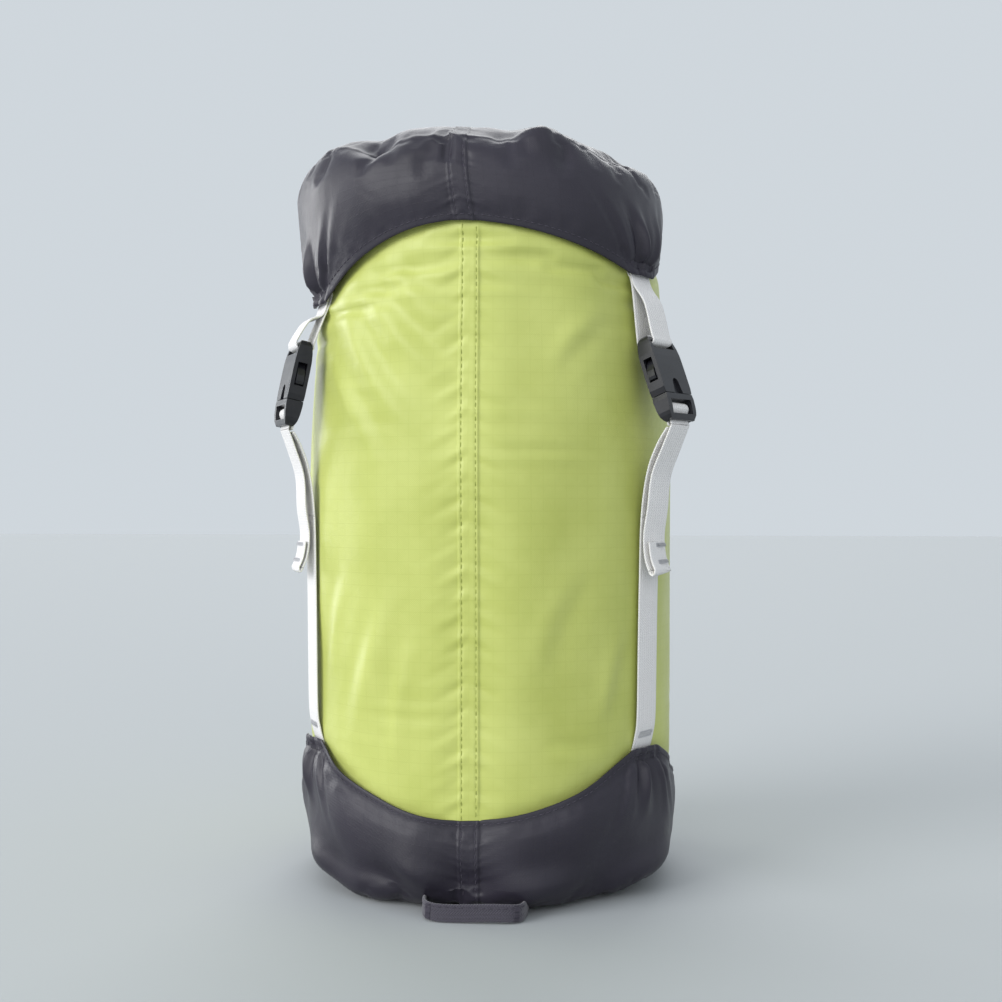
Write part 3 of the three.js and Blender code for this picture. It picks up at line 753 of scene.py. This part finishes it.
def stitch_hem(stitch, points, normals, along):
    """A line of stitches all round a cap, just in from its edge."""
    row = int(np.argmin(np.abs(along - HEM_STITCH)))
    stitch.line(*(np.vstack([grid[row], grid[row, :1]]) for grid in (points, normals)))


def seam_columns(fine):
    """The grid's column nearest to each of the seams' lines of stitches."""
    for seam in SEAMS:
        for side in (-1, 1):
            yield int(np.argmin(np.abs(turn_to(fine, seam * DEG + side * STITCH_OFF / BODY_RADIUS))))


def gathers(azimuth, up, reach):
    """The cloth bunched at each strap's tab, as pleats that fan out from it. up is measured from the edge."""
    total = np.zeros(np.broadcast(azimuth, up).shape)
    for number, station in enumerate(STATIONS.values()):
        off = turn_to(azimuth, station["azimuth"] * DEG) * BODY_RADIUS
        spread = 8 * MM + 0.6 * np.maximum(up, 0)
        fan = off / spread
        fold = (np.cos(fan * 9 + number) + 0.5 * np.cos(fan * 15 + 2 * number)) * np.exp(-(fan**2) * 0.9)
        fade = (1 - smooth(0.25 * reach, reach, up)) * (0.35 + 0.65 * smooth(4 * MM, 9 * MM, up))
        band = bump(off, 9.5 * MM) * bump(up - 5.5 * MM, 2.2 * MM)
        ruffle = bump(off, 10 * MM) * (1 - smooth(1 * MM, 4.5 * MM, up))
        swell = bump(fan, 1.1) * bump(up - 16 * MM, 10 * MM)
        total = total + 1.0 * fold * fade - 0.75 * band + 0.9 * ruffle + 0.9 * swell
    return total


def lid_profile(azimuth, t):
    side_share, corner_share = 0.34, 0.5
    corner = 13 * MM
    bend = 64 * DEG
    centre_r, centre_z = 71.8 * MM, CROWN - 32.5 * MM
    crown = CROWN - 8 * MM
    edge = lid_edge(azimuth)
    side = np.clip(t / side_share, 0, 1)
    angle = bend * np.clip((t - side_share) / (corner_share - side_share), 0, 1)
    dome = np.clip((t - corner_share) / (1 - corner_share), 0, 1)
    opening = CAP_RADIUS - 0.5 * MM - taper(azimuth, edge)
    radius = opening + (centre_r + corner - opening) * side + 1.5 * MM * np.sin(math.pi * side)
    height = edge + (centre_z - edge) * side
    radius = np.where(t > side_share, centre_r + corner * np.cos(angle), radius)
    height = np.where(t > side_share, centre_z + corner * np.sin(angle), height)
    rim_r = centre_r + corner * math.cos(bend)
    rim_z = centre_z + corner * math.sin(bend)
    radius = np.where(t > corner_share, rim_r * (1 - 0.985 * dome), radius)
    height = np.where(t > corner_share, rim_z + (crown - rim_z) * (1 - (1 - dome) ** 1.7), height)
    return radius, height


LID_RIDGE = 0.5  # the share of the lid's rows where its top is sewn to its side
# Dips and rises of the lid's top: each one's place from left to right, its width and its size, in mm.
LID_HOLLOWS = ((-37, 9, 7), (19, 7, 2.5), (66, 12, 4))
LID_PEAKS = ((-58, 11, 1.5), (-4, 9, 1.5), (33, 9, 4.5))


def eased_out(azimuth, share):
    """Outward at the lid's side, turning slowly to upward over its top, so a deep dip doesn't fold."""
    lift = smooth(0.2, 0.75, share) * math.pi / 2
    return polar(azimuth, np.cos(lift), np.sin(lift) + 0 * azimuth)


def lid_dents(azimuth, share, points, normal):
    up = points[..., 2] - lid_edge(azimuth)
    x = points[..., 0]
    top = smooth(0.36, 0.52, share)
    push = 2.0 * MM * gathers(azimuth, up, 36 * MM)
    rim = bump(share - LID_RIDGE, 0.08)
    hollows = sum(deep * bump(x - place * MM, wide * MM) for place, wide, deep in LID_HOLLOWS)
    peaks = sum(tall * bump(x - place * MM, wide * MM) for place, wide, tall in LID_PEAKS)
    push = push + 0.5 * MM * ripple(points, 31, 46 * MM) * (0.4 + 0.6 * top)
    push = push + 0.5 * MM * bump(share - LID_RIDGE, 0.014)
    dip = (peaks - hollows) * MM * np.maximum(rim, 0.45 * top)
    return normal * push[..., None] + eased_out(azimuth, share) * dip[..., None]


def lid():
    """The cap over the mouth, held at its edge and, more loosely, at its ridge."""

    def hold(azimuth, t):
        return np.where(t < 0.04, 1.0, 0.5 * bump(t - LID_RIDGE, 0.03)) + 0 * azimuth

    points, fine, along, share, flip = cap_cloth(
        lid_profile, hold, lid_dents, rows=60, growth=0.01, pressure=3, seed=41, pucker=0.16, outward=1
    )
    # The lid sits a little to the left, and its left side rides higher.
    rise = smooth(262 * MM, 320 * MM, points[..., 2])
    points[..., 0] -= 5.2 * MM * rise
    points[..., 2] -= 0.02 * points[..., 0] * rise
    replaced = ["lid_top"] + [f"lid_band_{name}" for name in STATIONS]
    finish_cap("lid_cloth", points, fine, along, flip, replaced, "lid")
    normals = grid_normals(points) * flip
    stitch = Thread()
    stitch_hem(stitch, points, normals, along)
    ridge = int(np.argmin(np.abs(share - LID_RIDGE + 0.03)))
    for column in seam_columns(fine):
        stitch.line(points[3:ridge, column], normals[3:ridge, column])
    thread = stitch.build("lid_thread", DARK_THREAD)
    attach(thread, "lid")


def base_profile(azimuth, t):
    side_share, corner_share = 0.36, 0.56
    corner = (11 + 12 * np.sin(azimuth) ** 2) * MM
    centre_r, centre_z = 84.7 * MM - corner, corner + FLOOR_GAP
    edge = base_edge(azimuth)
    side = np.clip(t / side_share, 0, 1)
    angle = 89 * DEG * np.clip((t - side_share) / (corner_share - side_share), 0, 1)
    inner = np.clip((t - corner_share) / (1 - corner_share), 0, 1)
    opening = CAP_RADIUS - 0.7 * MM
    radius = opening + (centre_r + corner - opening) * side + 0.7 * MM * np.sin(math.pi * side)
    height = edge + (centre_z - edge) * side
    radius = np.where(t > side_share, centre_r + corner * np.cos(angle), radius)
    height = np.where(t > side_share, centre_z - corner * np.sin(angle), height)
    radius = np.where(t > corner_share, centre_r * (1 - 0.985 * inner), radius)
    height = np.where(t > corner_share, FLOOR_GAP, height)
    return radius, height


def base_dents(azimuth, share, points, normal):
    up = base_edge(azimuth) - points[..., 2]
    side = 1 - smooth(0.45, 0.6, share)
    push = 1.4 * MM * gathers(azimuth, up, 34 * MM)
    push = push + side * 0.8 * MM * ripple(points, 51, 40 * MM)
    corner = bump(points[..., 2] - 12 * MM, 9 * MM)
    push = push + corner * 1.6 * MM * ripple(points, 53, 34 * MM)
    return normal * push[..., None]


def base():
    """The cap that the sack stands on, held at its edge and at its underside."""

    def hold(azimuth, t):
        return np.where((t < 0.04) | (t > 0.58), 1.0, 0.0) + 0 * azimuth

    points, fine, along, _, flip = cap_cloth(
        base_profile, hold, base_dents, rows=56, growth=0.015, pressure=4, seed=61, pucker=0.14, outward=-1
    )
    points[..., 2] = np.maximum(points[..., 2], FLOOR_GAP)
    replaced = ["base_disc"] + [f"base_band_{name}" for name in STATIONS]
    finish_cap("base_cloth", points, fine, along, flip, replaced, "sack")
    normals = grid_normals(points) * flip
    stitch = Thread()
    stitch_hem(stitch, points, normals, along)
    for column in seam_columns(fine):
        shown = points[:, column, 2] > 5 * MM
        stitch.line(points[shown, column], normals[shown, column])
    thread = stitch.build("base_thread", DARK_THREAD)
    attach(thread, "sack")


# ---------------------------------------------------------------- webbing
def station_axes(station):
    """The directions across a strap and away from the sack."""
    a = station["azimuth"] * DEG
    return np.array([math.cos(a), math.sin(a), 0]), np.array([math.sin(a), -math.cos(a), 0])


def smooth_path(points, count):
    """Even points along a Catmull-Rom curve through the given ones."""
    points = np.asarray(points, dtype=float)
    dense = cubic(points, np.linspace(0, len(points) - 1, 40 * len(points)), False)
    length = lengths_along(dense)
    want = np.linspace(0, length[-1], count)
    return np.stack([np.interp(want, length, dense[:, k]) for k in range(points.shape[1])], -1), length[-1]


def tape_section(width, thick, sides):
    """The outline of flat tape with soft edges: each point's place across it and through it."""
    angles = (np.arange(sides) + 0.5) * 2 * math.pi / sides
    across = np.sign(np.cos(angles)) * np.abs(np.cos(angles)) ** 0.3 * width / 2
    through = np.sign(np.sin(angles)) * np.abs(np.sin(angles)) ** 0.75 * thick / 2
    return across, through


def ribbon(name, station, route, count, thick=WEB_THICK, sway=None, roll=None):
    """Webbing along a route of (out, up) points in millimetres, in a strap's plane.

    sway and roll move it sideways, in mm, and twist it, in degrees, by the share of its length.
    """
    side_axis, out_axis = station_axes(station)
    path, length = smooth_path(np.asarray(route) * MM, count)
    share = np.linspace(0, 1, count)
    tangent = np.gradient(path, axis=0)
    tangent /= np.linalg.norm(tangent, axis=1, keepdims=True)
    drift = (sway(share) if sway else np.zeros(count)) * MM
    twist = (roll(share) if roll else np.zeros(count)) * DEG
    centre = path[:, :1] * out_axis + path[:, 1:] * np.array([0, 0, 1]) + drift[:, None] * side_axis
    along = tangent[:, :1] * out_axis + tangent[:, 1:] * np.array([0, 0, 1])
    normal = np.cross(side_axis, along)
    across = np.cos(twist)[:, None] * side_axis + np.sin(twist)[:, None] * normal
    normal = np.cross(across, along)
    sides = 24
    flat, through = tape_section(WEB_WIDTH, thick, sides)
    rings = centre[:, None] + flat[:, None] * across[:, None] + through[:, None] * normal[:, None]
    faces, corners = ring_faces(count, sides)
    u = np.append(flat, flat[0])
    uv = np.stack([u[corners[:, 1]] + WEB_WIDTH / 2, share[corners[:, 0]] * length], -1)
    faces += end_faces(count, sides)
    ends = np.concatenate([np.stack([flat[::-1], flat * 0], -1), np.stack([flat, flat * 0 + length], -1)])
    piece = mesh_object(name, rings, faces, WEB, np.vstack([uv, ends]))
    turn_outward(piece, rings, centre[0])
    return piece, centre, across, along, normal


def from_buckle(station, z, y):
    """A place in a buckle's own frame, out and up from its middle, as (out, up) in the strap's plane."""
    tilt = station["tilt"] * DEG
    return (
        station["radius"] + z * math.cos(tilt) - y * math.sin(tilt),
        station["height"] + z * math.sin(tilt) + y * math.cos(tilt),
    )


# Places in a strap's plane, in mm. The buckle's are in its own frame.
BUCKLE_END = -20.5  # just below the plug
BEHIND = -2.05  # the run, behind the plug's bars
TAIL_OUT = -0.35  # the free end, where it leaves the plug
BAR = (-0.2, -13.2)  # the adjuster's middle bar
BAR_TURN = 1.9  # from the bar's middle to the webbing round it
SOCKET_BAR = 18.05  # the height of the bar that the lid's loop holds
ON_BODY = 86.4  # the middle of a strap that lies on the body
UNDER_CAP = 82.3  # where a strap's end is sewn between the body and a cap
STRAP_THREAD = 0.22 * MM


def strap_run(name, station, sway):
    """From under the base's tab, up the body and out to the buckle."""
    foot_z, bow = station["base_tab"], station["bow"]
    run_end = from_buckle(station, BEHIND, BUCKLE_END)
    route = [
        (UNDER_CAP, foot_z - 5),
        (UNDER_CAP + 0.7, foot_z - 1),
        (UNDER_CAP + 2.3, foot_z + 5),
        (ON_BODY - 0.5, foot_z + 14),
        (ON_BODY, 105),
        (ON_BODY + 0.2 * bow, 135),
        (ON_BODY + 0.6 * bow, 164),
        (ON_BODY + 0.2 * (run_end[0] - ON_BODY) + 0.6 * bow, 183),
        (ON_BODY + 0.62 * (run_end[0] - ON_BODY), 195),
        run_end,
    ]
    count, every = 400, 4
    whole, _ = smooth_path(route, count)
    cut = every * int(np.argmin(np.abs(whole[::every, 1] - SPLIT / MM)))
    cut_share = cut / (count - 1)
    lower, centre, across, along, normal = ribbon(
        f"run_lower_{name}", station, whole[: cut + 1 : every], 110, sway=lambda s: sway(s * cut_share)
    )
    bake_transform(lower)
    upper, *_ = ribbon(
        f"run_upper_{name}",
        station,
        whole[cut::every],
        40,
        sway=lambda s: sway(cut_share + s * (1 - cut_share)),
    )
    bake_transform(upper)
    for piece in (lower, upper):
        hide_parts(f"strap_run_{name}")
    stitch = Thread(STRAP_THREAD)
    foot = 12
    lift = normal[foot] * 0.6 * MM
    stitch.tack(centre[foot] + lift, across[foot], along[foot], normal[foot], 11 * MM, 3 * MM)
    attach(stitch.build(f"run_tack_{name}", PALE_THREAD), "sack")


def strap_in_buckle(name, station):
    """Up behind the plug's lower bar, round the middle bar and down again."""
    angles = [g * DEG for g in range(180, -1, -30)]
    route = [
        (BEHIND, BUCKLE_END),
        (BEHIND, -16.6),
        *((BAR[0] + BAR_TURN * math.cos(g), BAR[1] + BAR_TURN * math.sin(g)) for g in angles),
        (1.35, -14.4),
        (0.35, -15.8),
        (TAIL_OUT, -17.4),
        (TAIL_OUT, BUCKLE_END),
    ]
    places = [from_buckle(station, z, y) for z, y in route]
    threaded, *_ = ribbon(f"strap_in_buckle_{name}", station, places, 70, thick=1.1 * MM)
    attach(threaded, f"plug_{name}")
    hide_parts(f"strap_thread_{name}")


def strap_tail(name, station, drift, twist):
    """The free end, hanging over the run, with its tip folded back and sewn."""
    start = from_buckle(station, TAIL_OUT, BUCKLE_END - 0.2)
    rest = ON_BODY + 2.6 + 0.6 * station["bow"]
    route = [
        start,
        (rest + 0.66 * (start[0] - rest), 194),
        (rest + 0.26 * (start[0] - rest), 182),
        (rest + 1.6, 168),
        (rest, 156),
        (rest + 0.9, 147),
        (rest + 3.0, 141.5),
    ]
    tail, centre, across, along, normal = ribbon(
        f"strap_tail_{name}", station, route, 90, sway=lambda s: drift * s * s, roll=lambda s: twist * s
    )
    _, out_axis = station_axes(station)
    face = 1.25  # from the tail's middle to the middle of the fold that lies on it
    hem_at = [*range(72, 90, 3), 89]
    outward = [(float(centre[i] @ out_axis) / MM + face, float(centre[i][2]) / MM) for i in hem_at]
    tip = outward[-1]
    fold_back = [(tip[0] - face, tip[1] - 0.2), (tip[0] - 0.4, tip[1] - 1.5), *outward[::-1]]
    hem, *_ = ribbon(
        f"tail_hem_{name}",
        station,
        fold_back,
        40,
        sway=lambda s: drift * (1 - 0.2 * s) ** 2,
        roll=lambda s: twist * (1 - 0.2 * s),
    )
    stitch = Thread(STRAP_THREAD)
    for i in (74, 85):
        lift = normal[i] * np.sign(normal[i] @ out_axis)
        stitch.tack(centre[i] + lift * 1.95 * MM, across[i], along[i], lift, 11.5 * MM, 1.6 * MM, 14)
    tack = stitch.build(f"tail_tack_{name}", PALE_THREAD)
    for piece in (tail, hem, tack):
        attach(piece, f"tail_{name}")
    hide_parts(f"strap_tail_{name}")


def lid_loop(name, station):
    """A loop of webbing from under the lid's tab, round the socket's bar and back."""
    tab = station["lid_tab"]
    drawn = float(taper(station["azimuth"] * DEG, tab * MM)) / MM
    ring = [(-3.8, 1.6), (-3.9, -1.2), (-2.8, -2.4), (0, -2.6), (2.8, -2.4), (3.9, -1.2), (3.8, 1.6)]
    wrap = [from_buckle(station, z, SOCKET_BAR + y) for z, y in ring]
    route = [
        (UNDER_CAP - drawn, tab + 5),
        (UNDER_CAP + 1.0 - drawn, tab + 0.5),
        (UNDER_CAP + 2.6 - 0.8 * drawn, tab - 5),
        *wrap,
        (0.5 * (ON_BODY - drawn + wrap[-1][0]) + 0.4 * station["bow"], 0.5 * (tab + wrap[-1][1])),
        (UNDER_CAP + 3.7 - 0.8 * drawn, tab - 5),
        (UNDER_CAP + 2.3 - drawn, tab + 0.5),
        (UNDER_CAP + 1.3 - drawn, tab + 5),
    ]
    loop, *_ = ribbon(f"lid_loop_{name}", station, route, 150)
    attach(loop, "lid")
    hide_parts(f"lid_loop_{name}")


def straps(name, station):
    """One strap and its loop. No two straps hang alike."""
    wobble = np.random.default_rng(station["azimuth"] + 400).uniform(-1, 1, 4)

    def sway(s):
        return 0.9 * wobble[0] * np.sin(math.pi * s) + 0.5 * wobble[1] * np.sin(2 * math.pi * s)

    strap_run(name, station, sway)
    strap_in_buckle(name, station)
    strap_tail(name, station, 1.6 * wobble[2], 9 * wobble[3])
    lid_loop(name, station)


def haul_loop():
    """The flat tab of dark tape sewn into the front of the base, standing on its edge."""
    count, sides = 90, 20
    half, reach = 21 * MM, 92.2 * MM
    middle_height = 4.2 * MM
    sewn_in = 76 * MM  # how far from the axis its two ends are
    share = np.linspace(-1, 1, count)
    bend = np.sqrt(np.maximum(0, 1 - np.abs(share) ** 4))
    x = half * np.sin(share * math.pi / 2) + 2.5 * MM
    root = np.sqrt(sewn_in**2 - x**2)
    out = root + (reach - root) * bend
    centre = np.stack([x, -out, np.full(count, middle_height)], -1)
    along = np.gradient(centre, axis=0)
    along /= np.linalg.norm(along, axis=1, keepdims=True)
    up = np.array([0, 0, 1.0]) + 0 * centre
    normal = np.cross(up, along)
    tall, through = tape_section(7.4 * MM, 1.6 * MM, sides)
    rings = centre[:, None] + tall[:, None] * up[:, None] + through[:, None] * normal[:, None]
    rings[..., 2] += (0.35 * MM * np.sin(share * 5))[:, None]
    faces, corners = ring_faces(count, sides)
    length = lengths_along(centre)
    u = np.append(tall, tall[0])
    uv = np.stack([u[corners[:, 1]] + 5 * MM, length[corners[:, 0]]], -1)
    faces += end_faces(count, sides)
    uv = np.vstack([uv, np.zeros((2 * sides, 2))])
    tape = mesh_object("haul_tape", rings, faces, DARK_WEB, uv)
    turn_outward(tape, rings, centre[0])
    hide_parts("haul_loop")
    stitch = Thread()
    front = np.where(normal[:, 1:2] > 0, -normal, normal)
    near_top = [0, 0, 2.4 * MM]
    stitch.line(centre[6:-6] + front[6:-6] * 0.8 * MM + near_top, front[6:-6])
    for i in (16, count - 17):
        stitch.tack(centre[i] + front[i] * 0.85 * MM, along[i], up[i], front[i], 2.4 * MM, 6.4 * MM, 6)
    thread = stitch.build("haul_thread", DARK_THREAD)
    for piece in (tape, thread):
        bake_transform(piece)


# ---------------------------------------------------------------- the mouth, under the lid
MOUTH_RADIUS = 27.5 * MM
MOUTH_HEIGHT = 318 * MM
CORD_RADIUS = 1.2 * MM


def shoulder():
    """The top of the sack, drawn in to the hem in pleats."""
    rows, columns = 44, 432
    azimuth = all_round(columns)[None, :]
    t = np.linspace(0, 1, rows)[:, None]
    angle = 86 * DEG * t
    inner = MOUTH_RADIUS + 2.5 * MM
    low = BODY_HIGH - 1 * MM
    rise = MOUTH_HEIGHT - 5.5 * MM - low
    radius = inner + (BODY_RADIUS - 2.4 * MM - taper(azimuth, BODY_HIGH) - inner) * np.cos(angle)
    height = low + rise * np.sin(angle)
    depth = 1.9 * MM * smooth(0.25, 0.95, t) * (1 - 0.35 * t)
    pick = np.random.default_rng(71)
    pleats = sum(
        size * np.cos(count * azimuth + pick.uniform(0, 6.28) + 0.6 * t * pick.uniform(-2, 2))
        for count, size in ((26, 0.5), (37, 0.35), (15, 0.4), (51, 0.2))
    )
    points = polar(azimuth, radius, height + depth * np.minimum(pleats, 0.5) - 1.0 * MM * smooth(0.3, 1, t))
    lengths = np.linspace(0, 70 * MM, rows)
    cloth = wrapped_cloth("mouth_gather", points, azimuth[0], lengths, GREEN)
    finish_mouth_cloth(cloth, 0.5 * MM, "mouth_shoulder")


def finish_mouth_cloth(cloth, thick, replaced):
    solid = cloth.modifiers.new("Thickness", "SOLIDIFY")
    solid.thickness = thick
    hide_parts(replaced)
    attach(cloth, "mouth")


def hem_channel():
    """The hem round the drawcord, gathered along it."""
    rings, sides = 360, 22
    azimuth = all_round(rings)
    slit = 22 * DEG
    angle = np.linspace(-math.pi + slit, math.pi - slit, sides)[:, None]
    pick = np.random.default_rng(72)
    waves = ((31, 0.5), (44, 0.35), (19, 0.3))
    pleats = sum(size * np.cos(count * azimuth + pick.uniform(0, 6.28)) for count, size in waves)
    front = 1 - bump(turn_to(azimuth, 0) * MOUTH_RADIUS, 6 * MM)
    radius = (4.55 * MM + 0.4 * MM * pleats * front)[None, :]
    out, up = radius * np.cos(angle), radius * np.sin(angle)
    points = polar(azimuth[None, :], MOUTH_RADIUS + out, MOUTH_HEIGHT + up)
    lengths = np.linspace(0, 26 * MM, sides)
    cloth = wrapped_cloth("mouth_hem", points, azimuth, lengths, GREEN, radius=MOUTH_RADIUS)
    finish_mouth_cloth(cloth, 0.6 * MM, "hem_channel")


def tube(name, centre, radius, material, closed):
    """A round cord along even points, with UVs round it and along it in metres."""
    centre = np.asarray(centre, dtype=float)
    count, sides = len(centre), 12
    if closed:
        along = np.roll(centre, -1, 0) - np.roll(centre, 1, 0)
    else:
        along = np.gradient(centre, axis=0)
    along /= np.linalg.norm(along, axis=1, keepdims=True)
    up = np.array([0, 0, 1.0])
    side = np.cross(along, up)
    side /= np.linalg.norm(side, axis=1, keepdims=True)
    lift = np.cross(side, along)
    angles = np.arange(sides) * 2 * math.pi / sides
    around = np.cos(angles)[:, None] * side[:, None] + np.sin(angles)[:, None] * lift[:, None]
    rings = centre[:, None] + radius * around
    if closed:
        rings = np.concatenate([rings, rings[:1]])
    faces, corners = ring_faces(len(rings), sides)
    step = float(np.linalg.norm(centre[1] - centre[0]))
    uv = np.stack([corners[:, 1] * 2 * math.pi * radius / sides, corners[:, 0] * step], -1)
    if not closed:
        faces += end_faces(len(rings), sides)
        uv = np.vstack([uv, np.zeros((2 * sides, 2))])
    piece = mesh_object(name, rings, faces, material, uv)
    turn_outward(piece, rings, centre[0])
    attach(piece, "mouth")
    return piece


def drawcord():
    """The cord in the hem, its two ends through the eyelet and the lock, and the knot that ties them."""
    azimuth = np.arange(240) * 2 * math.pi / 240
    ring = tube("drawcord_ring", polar(azimuth, MOUTH_RADIUS, MOUTH_HEIGHT), CORD_RADIUS, CORD, True)
    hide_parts("drawcord")
    for number, side in enumerate((-1.5, 1.5)):
        route = [
            (side, -27.5, 318),
            (side, -32.5, 318),
            (side, -37.5, 318.2),
            (side, -49.5, 318.2),
            (side, -53.3, 317.2),
        ]
        path, _ = smooth_path(np.array(route) * MM, 60)
        end = tube(f"drawcord_end_{number}", path, CORD_RADIUS, CORD, False)
        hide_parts("drawcord")
    turn = np.linspace(0, 2 * math.pi, 120, endpoint=False)
    knot = [
        2.1 * np.sin(turn) + 1.3 * np.sin(2 * turn),
        -56.1 + 1.0 * np.cos(3 * turn),
        317.2 + 1.5 * np.cos(turn) - 1.0 * np.cos(2 * turn),
    ]
    tied = tube("cord_knot_tied", np.stack(knot, -1) * MM, 1.15 * MM, CORD, True)
    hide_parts("cord_knot")


LOCK = np.array([-10, -43.5, 318.2]) * MM  # the inside of the cord lock's closed end, on its own axis


def lock_spring():
    """The coil behind the cord lock's button, built at one length; it is not made to shorten as the button is
    pressed.
    """
    wire, room, turns = 0.25 * MM, 3.9 * MM, 3
    share = np.linspace(0, 1, 150)
    angle = 2 * math.pi * turns * share
    radius = 2.7 * MM
    coil = np.stack([wire + 0.2 * MM + room * share, radius * np.cos(angle), radius * np.sin(angle)], -1)
    spring = tube("lock_spring", LOCK + coil, wire, STEEL, False)
    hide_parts("cord_lock_spring")
    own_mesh(spring)


def dress_cad():
    """Finishes and softened edges for the moulded and metal parts."""
    finishes = {"cord_eyelet": STEEL, "cord_lock_barrel": PLASTIC, "cord_lock_button": PLASTIC}
    for name in STATIONS:
        for part in (f"socket_{name}", f"plug_{name}", f"prong_{name}_a", f"prong_{name}_b"):
            finishes[part] = PLASTIC
    for part, material in finishes.items():
        piece = nodes[part]
        piece.data.materials.clear()
        piece.data.materials.append(material)
        soften = piece.modifiers.new("Soften", "BEVEL")
        soften.width = 0.4 * MM
        soften.segments = 3
        soften.limit_method = "ANGLE"
        soften.angle_limit = 28 * DEG
        soften.harden_normals = True


# ---------------------------------------------------------------- studio
def studio():
    """A plain pale floor and background, soft light, and the camera at the photo's angle."""
    scene = bpy.context.scene
    floor_material, _ = shader("studio_floor", (0.4, 0.42, 0.43), 0.9)
    size = 6
    corners = [(-size, -size, 0), (size, -size, 0), (size, size, 0), (-size, size, 0)]
    mesh_object("studio_floor", corners, [[0, 1, 2, 3]], floor_material)

    world = bpy.data.worlds.new("studio")
    scene.world = world
    world.use_nodes = True
    background = world.node_tree.nodes["Background"]
    background.inputs["Color"].default_value = (0.87, 0.94, 1.0, 1)
    background.inputs["Strength"].default_value = 0.72

    def soft_light(name, towards, strength, spread):
        """A far light as wide as a softbox, so that the floor is lit evenly. spread is in degrees."""
        light = bpy.data.lights.new(name, "SUN")
        light.energy = strength
        light.angle = spread * DEG
        lamp = bpy.data.objects.new(name, light)
        lamp.rotation_euler = Vector(towards).to_track_quat("-Z", "Y").to_euler()
        scene.collection.objects.link(lamp)

    soft_light("key", (1.0, 0.8, -0.55), 2.1, 40)
    soft_light("front", (-0.1, 1.0, -0.35), 0.8, 60)
    soft_light("rim_left", (1.0, -0.5, -0.15), 1.2, 30)
    soft_light("back", (0.15, -1.0, -0.7), 1.3, 50)

    lens_data = bpy.data.cameras.new("camera")
    lens_data.lens = 47.7
    lens_data.sensor_width = 36
    lens_data.clip_start = 0.02
    camera = bpy.data.objects.new("camera", lens_data)
    turn = 6 * DEG  # to the right of the front seam
    away, aside, height = 0.629, 4.7 * MM, 0.171
    camera.location = (
        away * math.sin(turn) + aside * math.cos(turn),
        -away * math.cos(turn) + aside * math.sin(turn),
        height,
    )
    camera.rotation_euler = (math.pi / 2, 0, turn)
    scene.collection.objects.link(camera)
    scene.camera = camera
    scene.view_settings.view_transform = "Standard"


body_cloth()
lid()
base()
for strap_name, strap_station in STATIONS.items():
    straps(strap_name, strap_station)
haul_loop()
shoulder()
hem_channel()
drawcord()
lock_spring()
dress_cad()
studio()
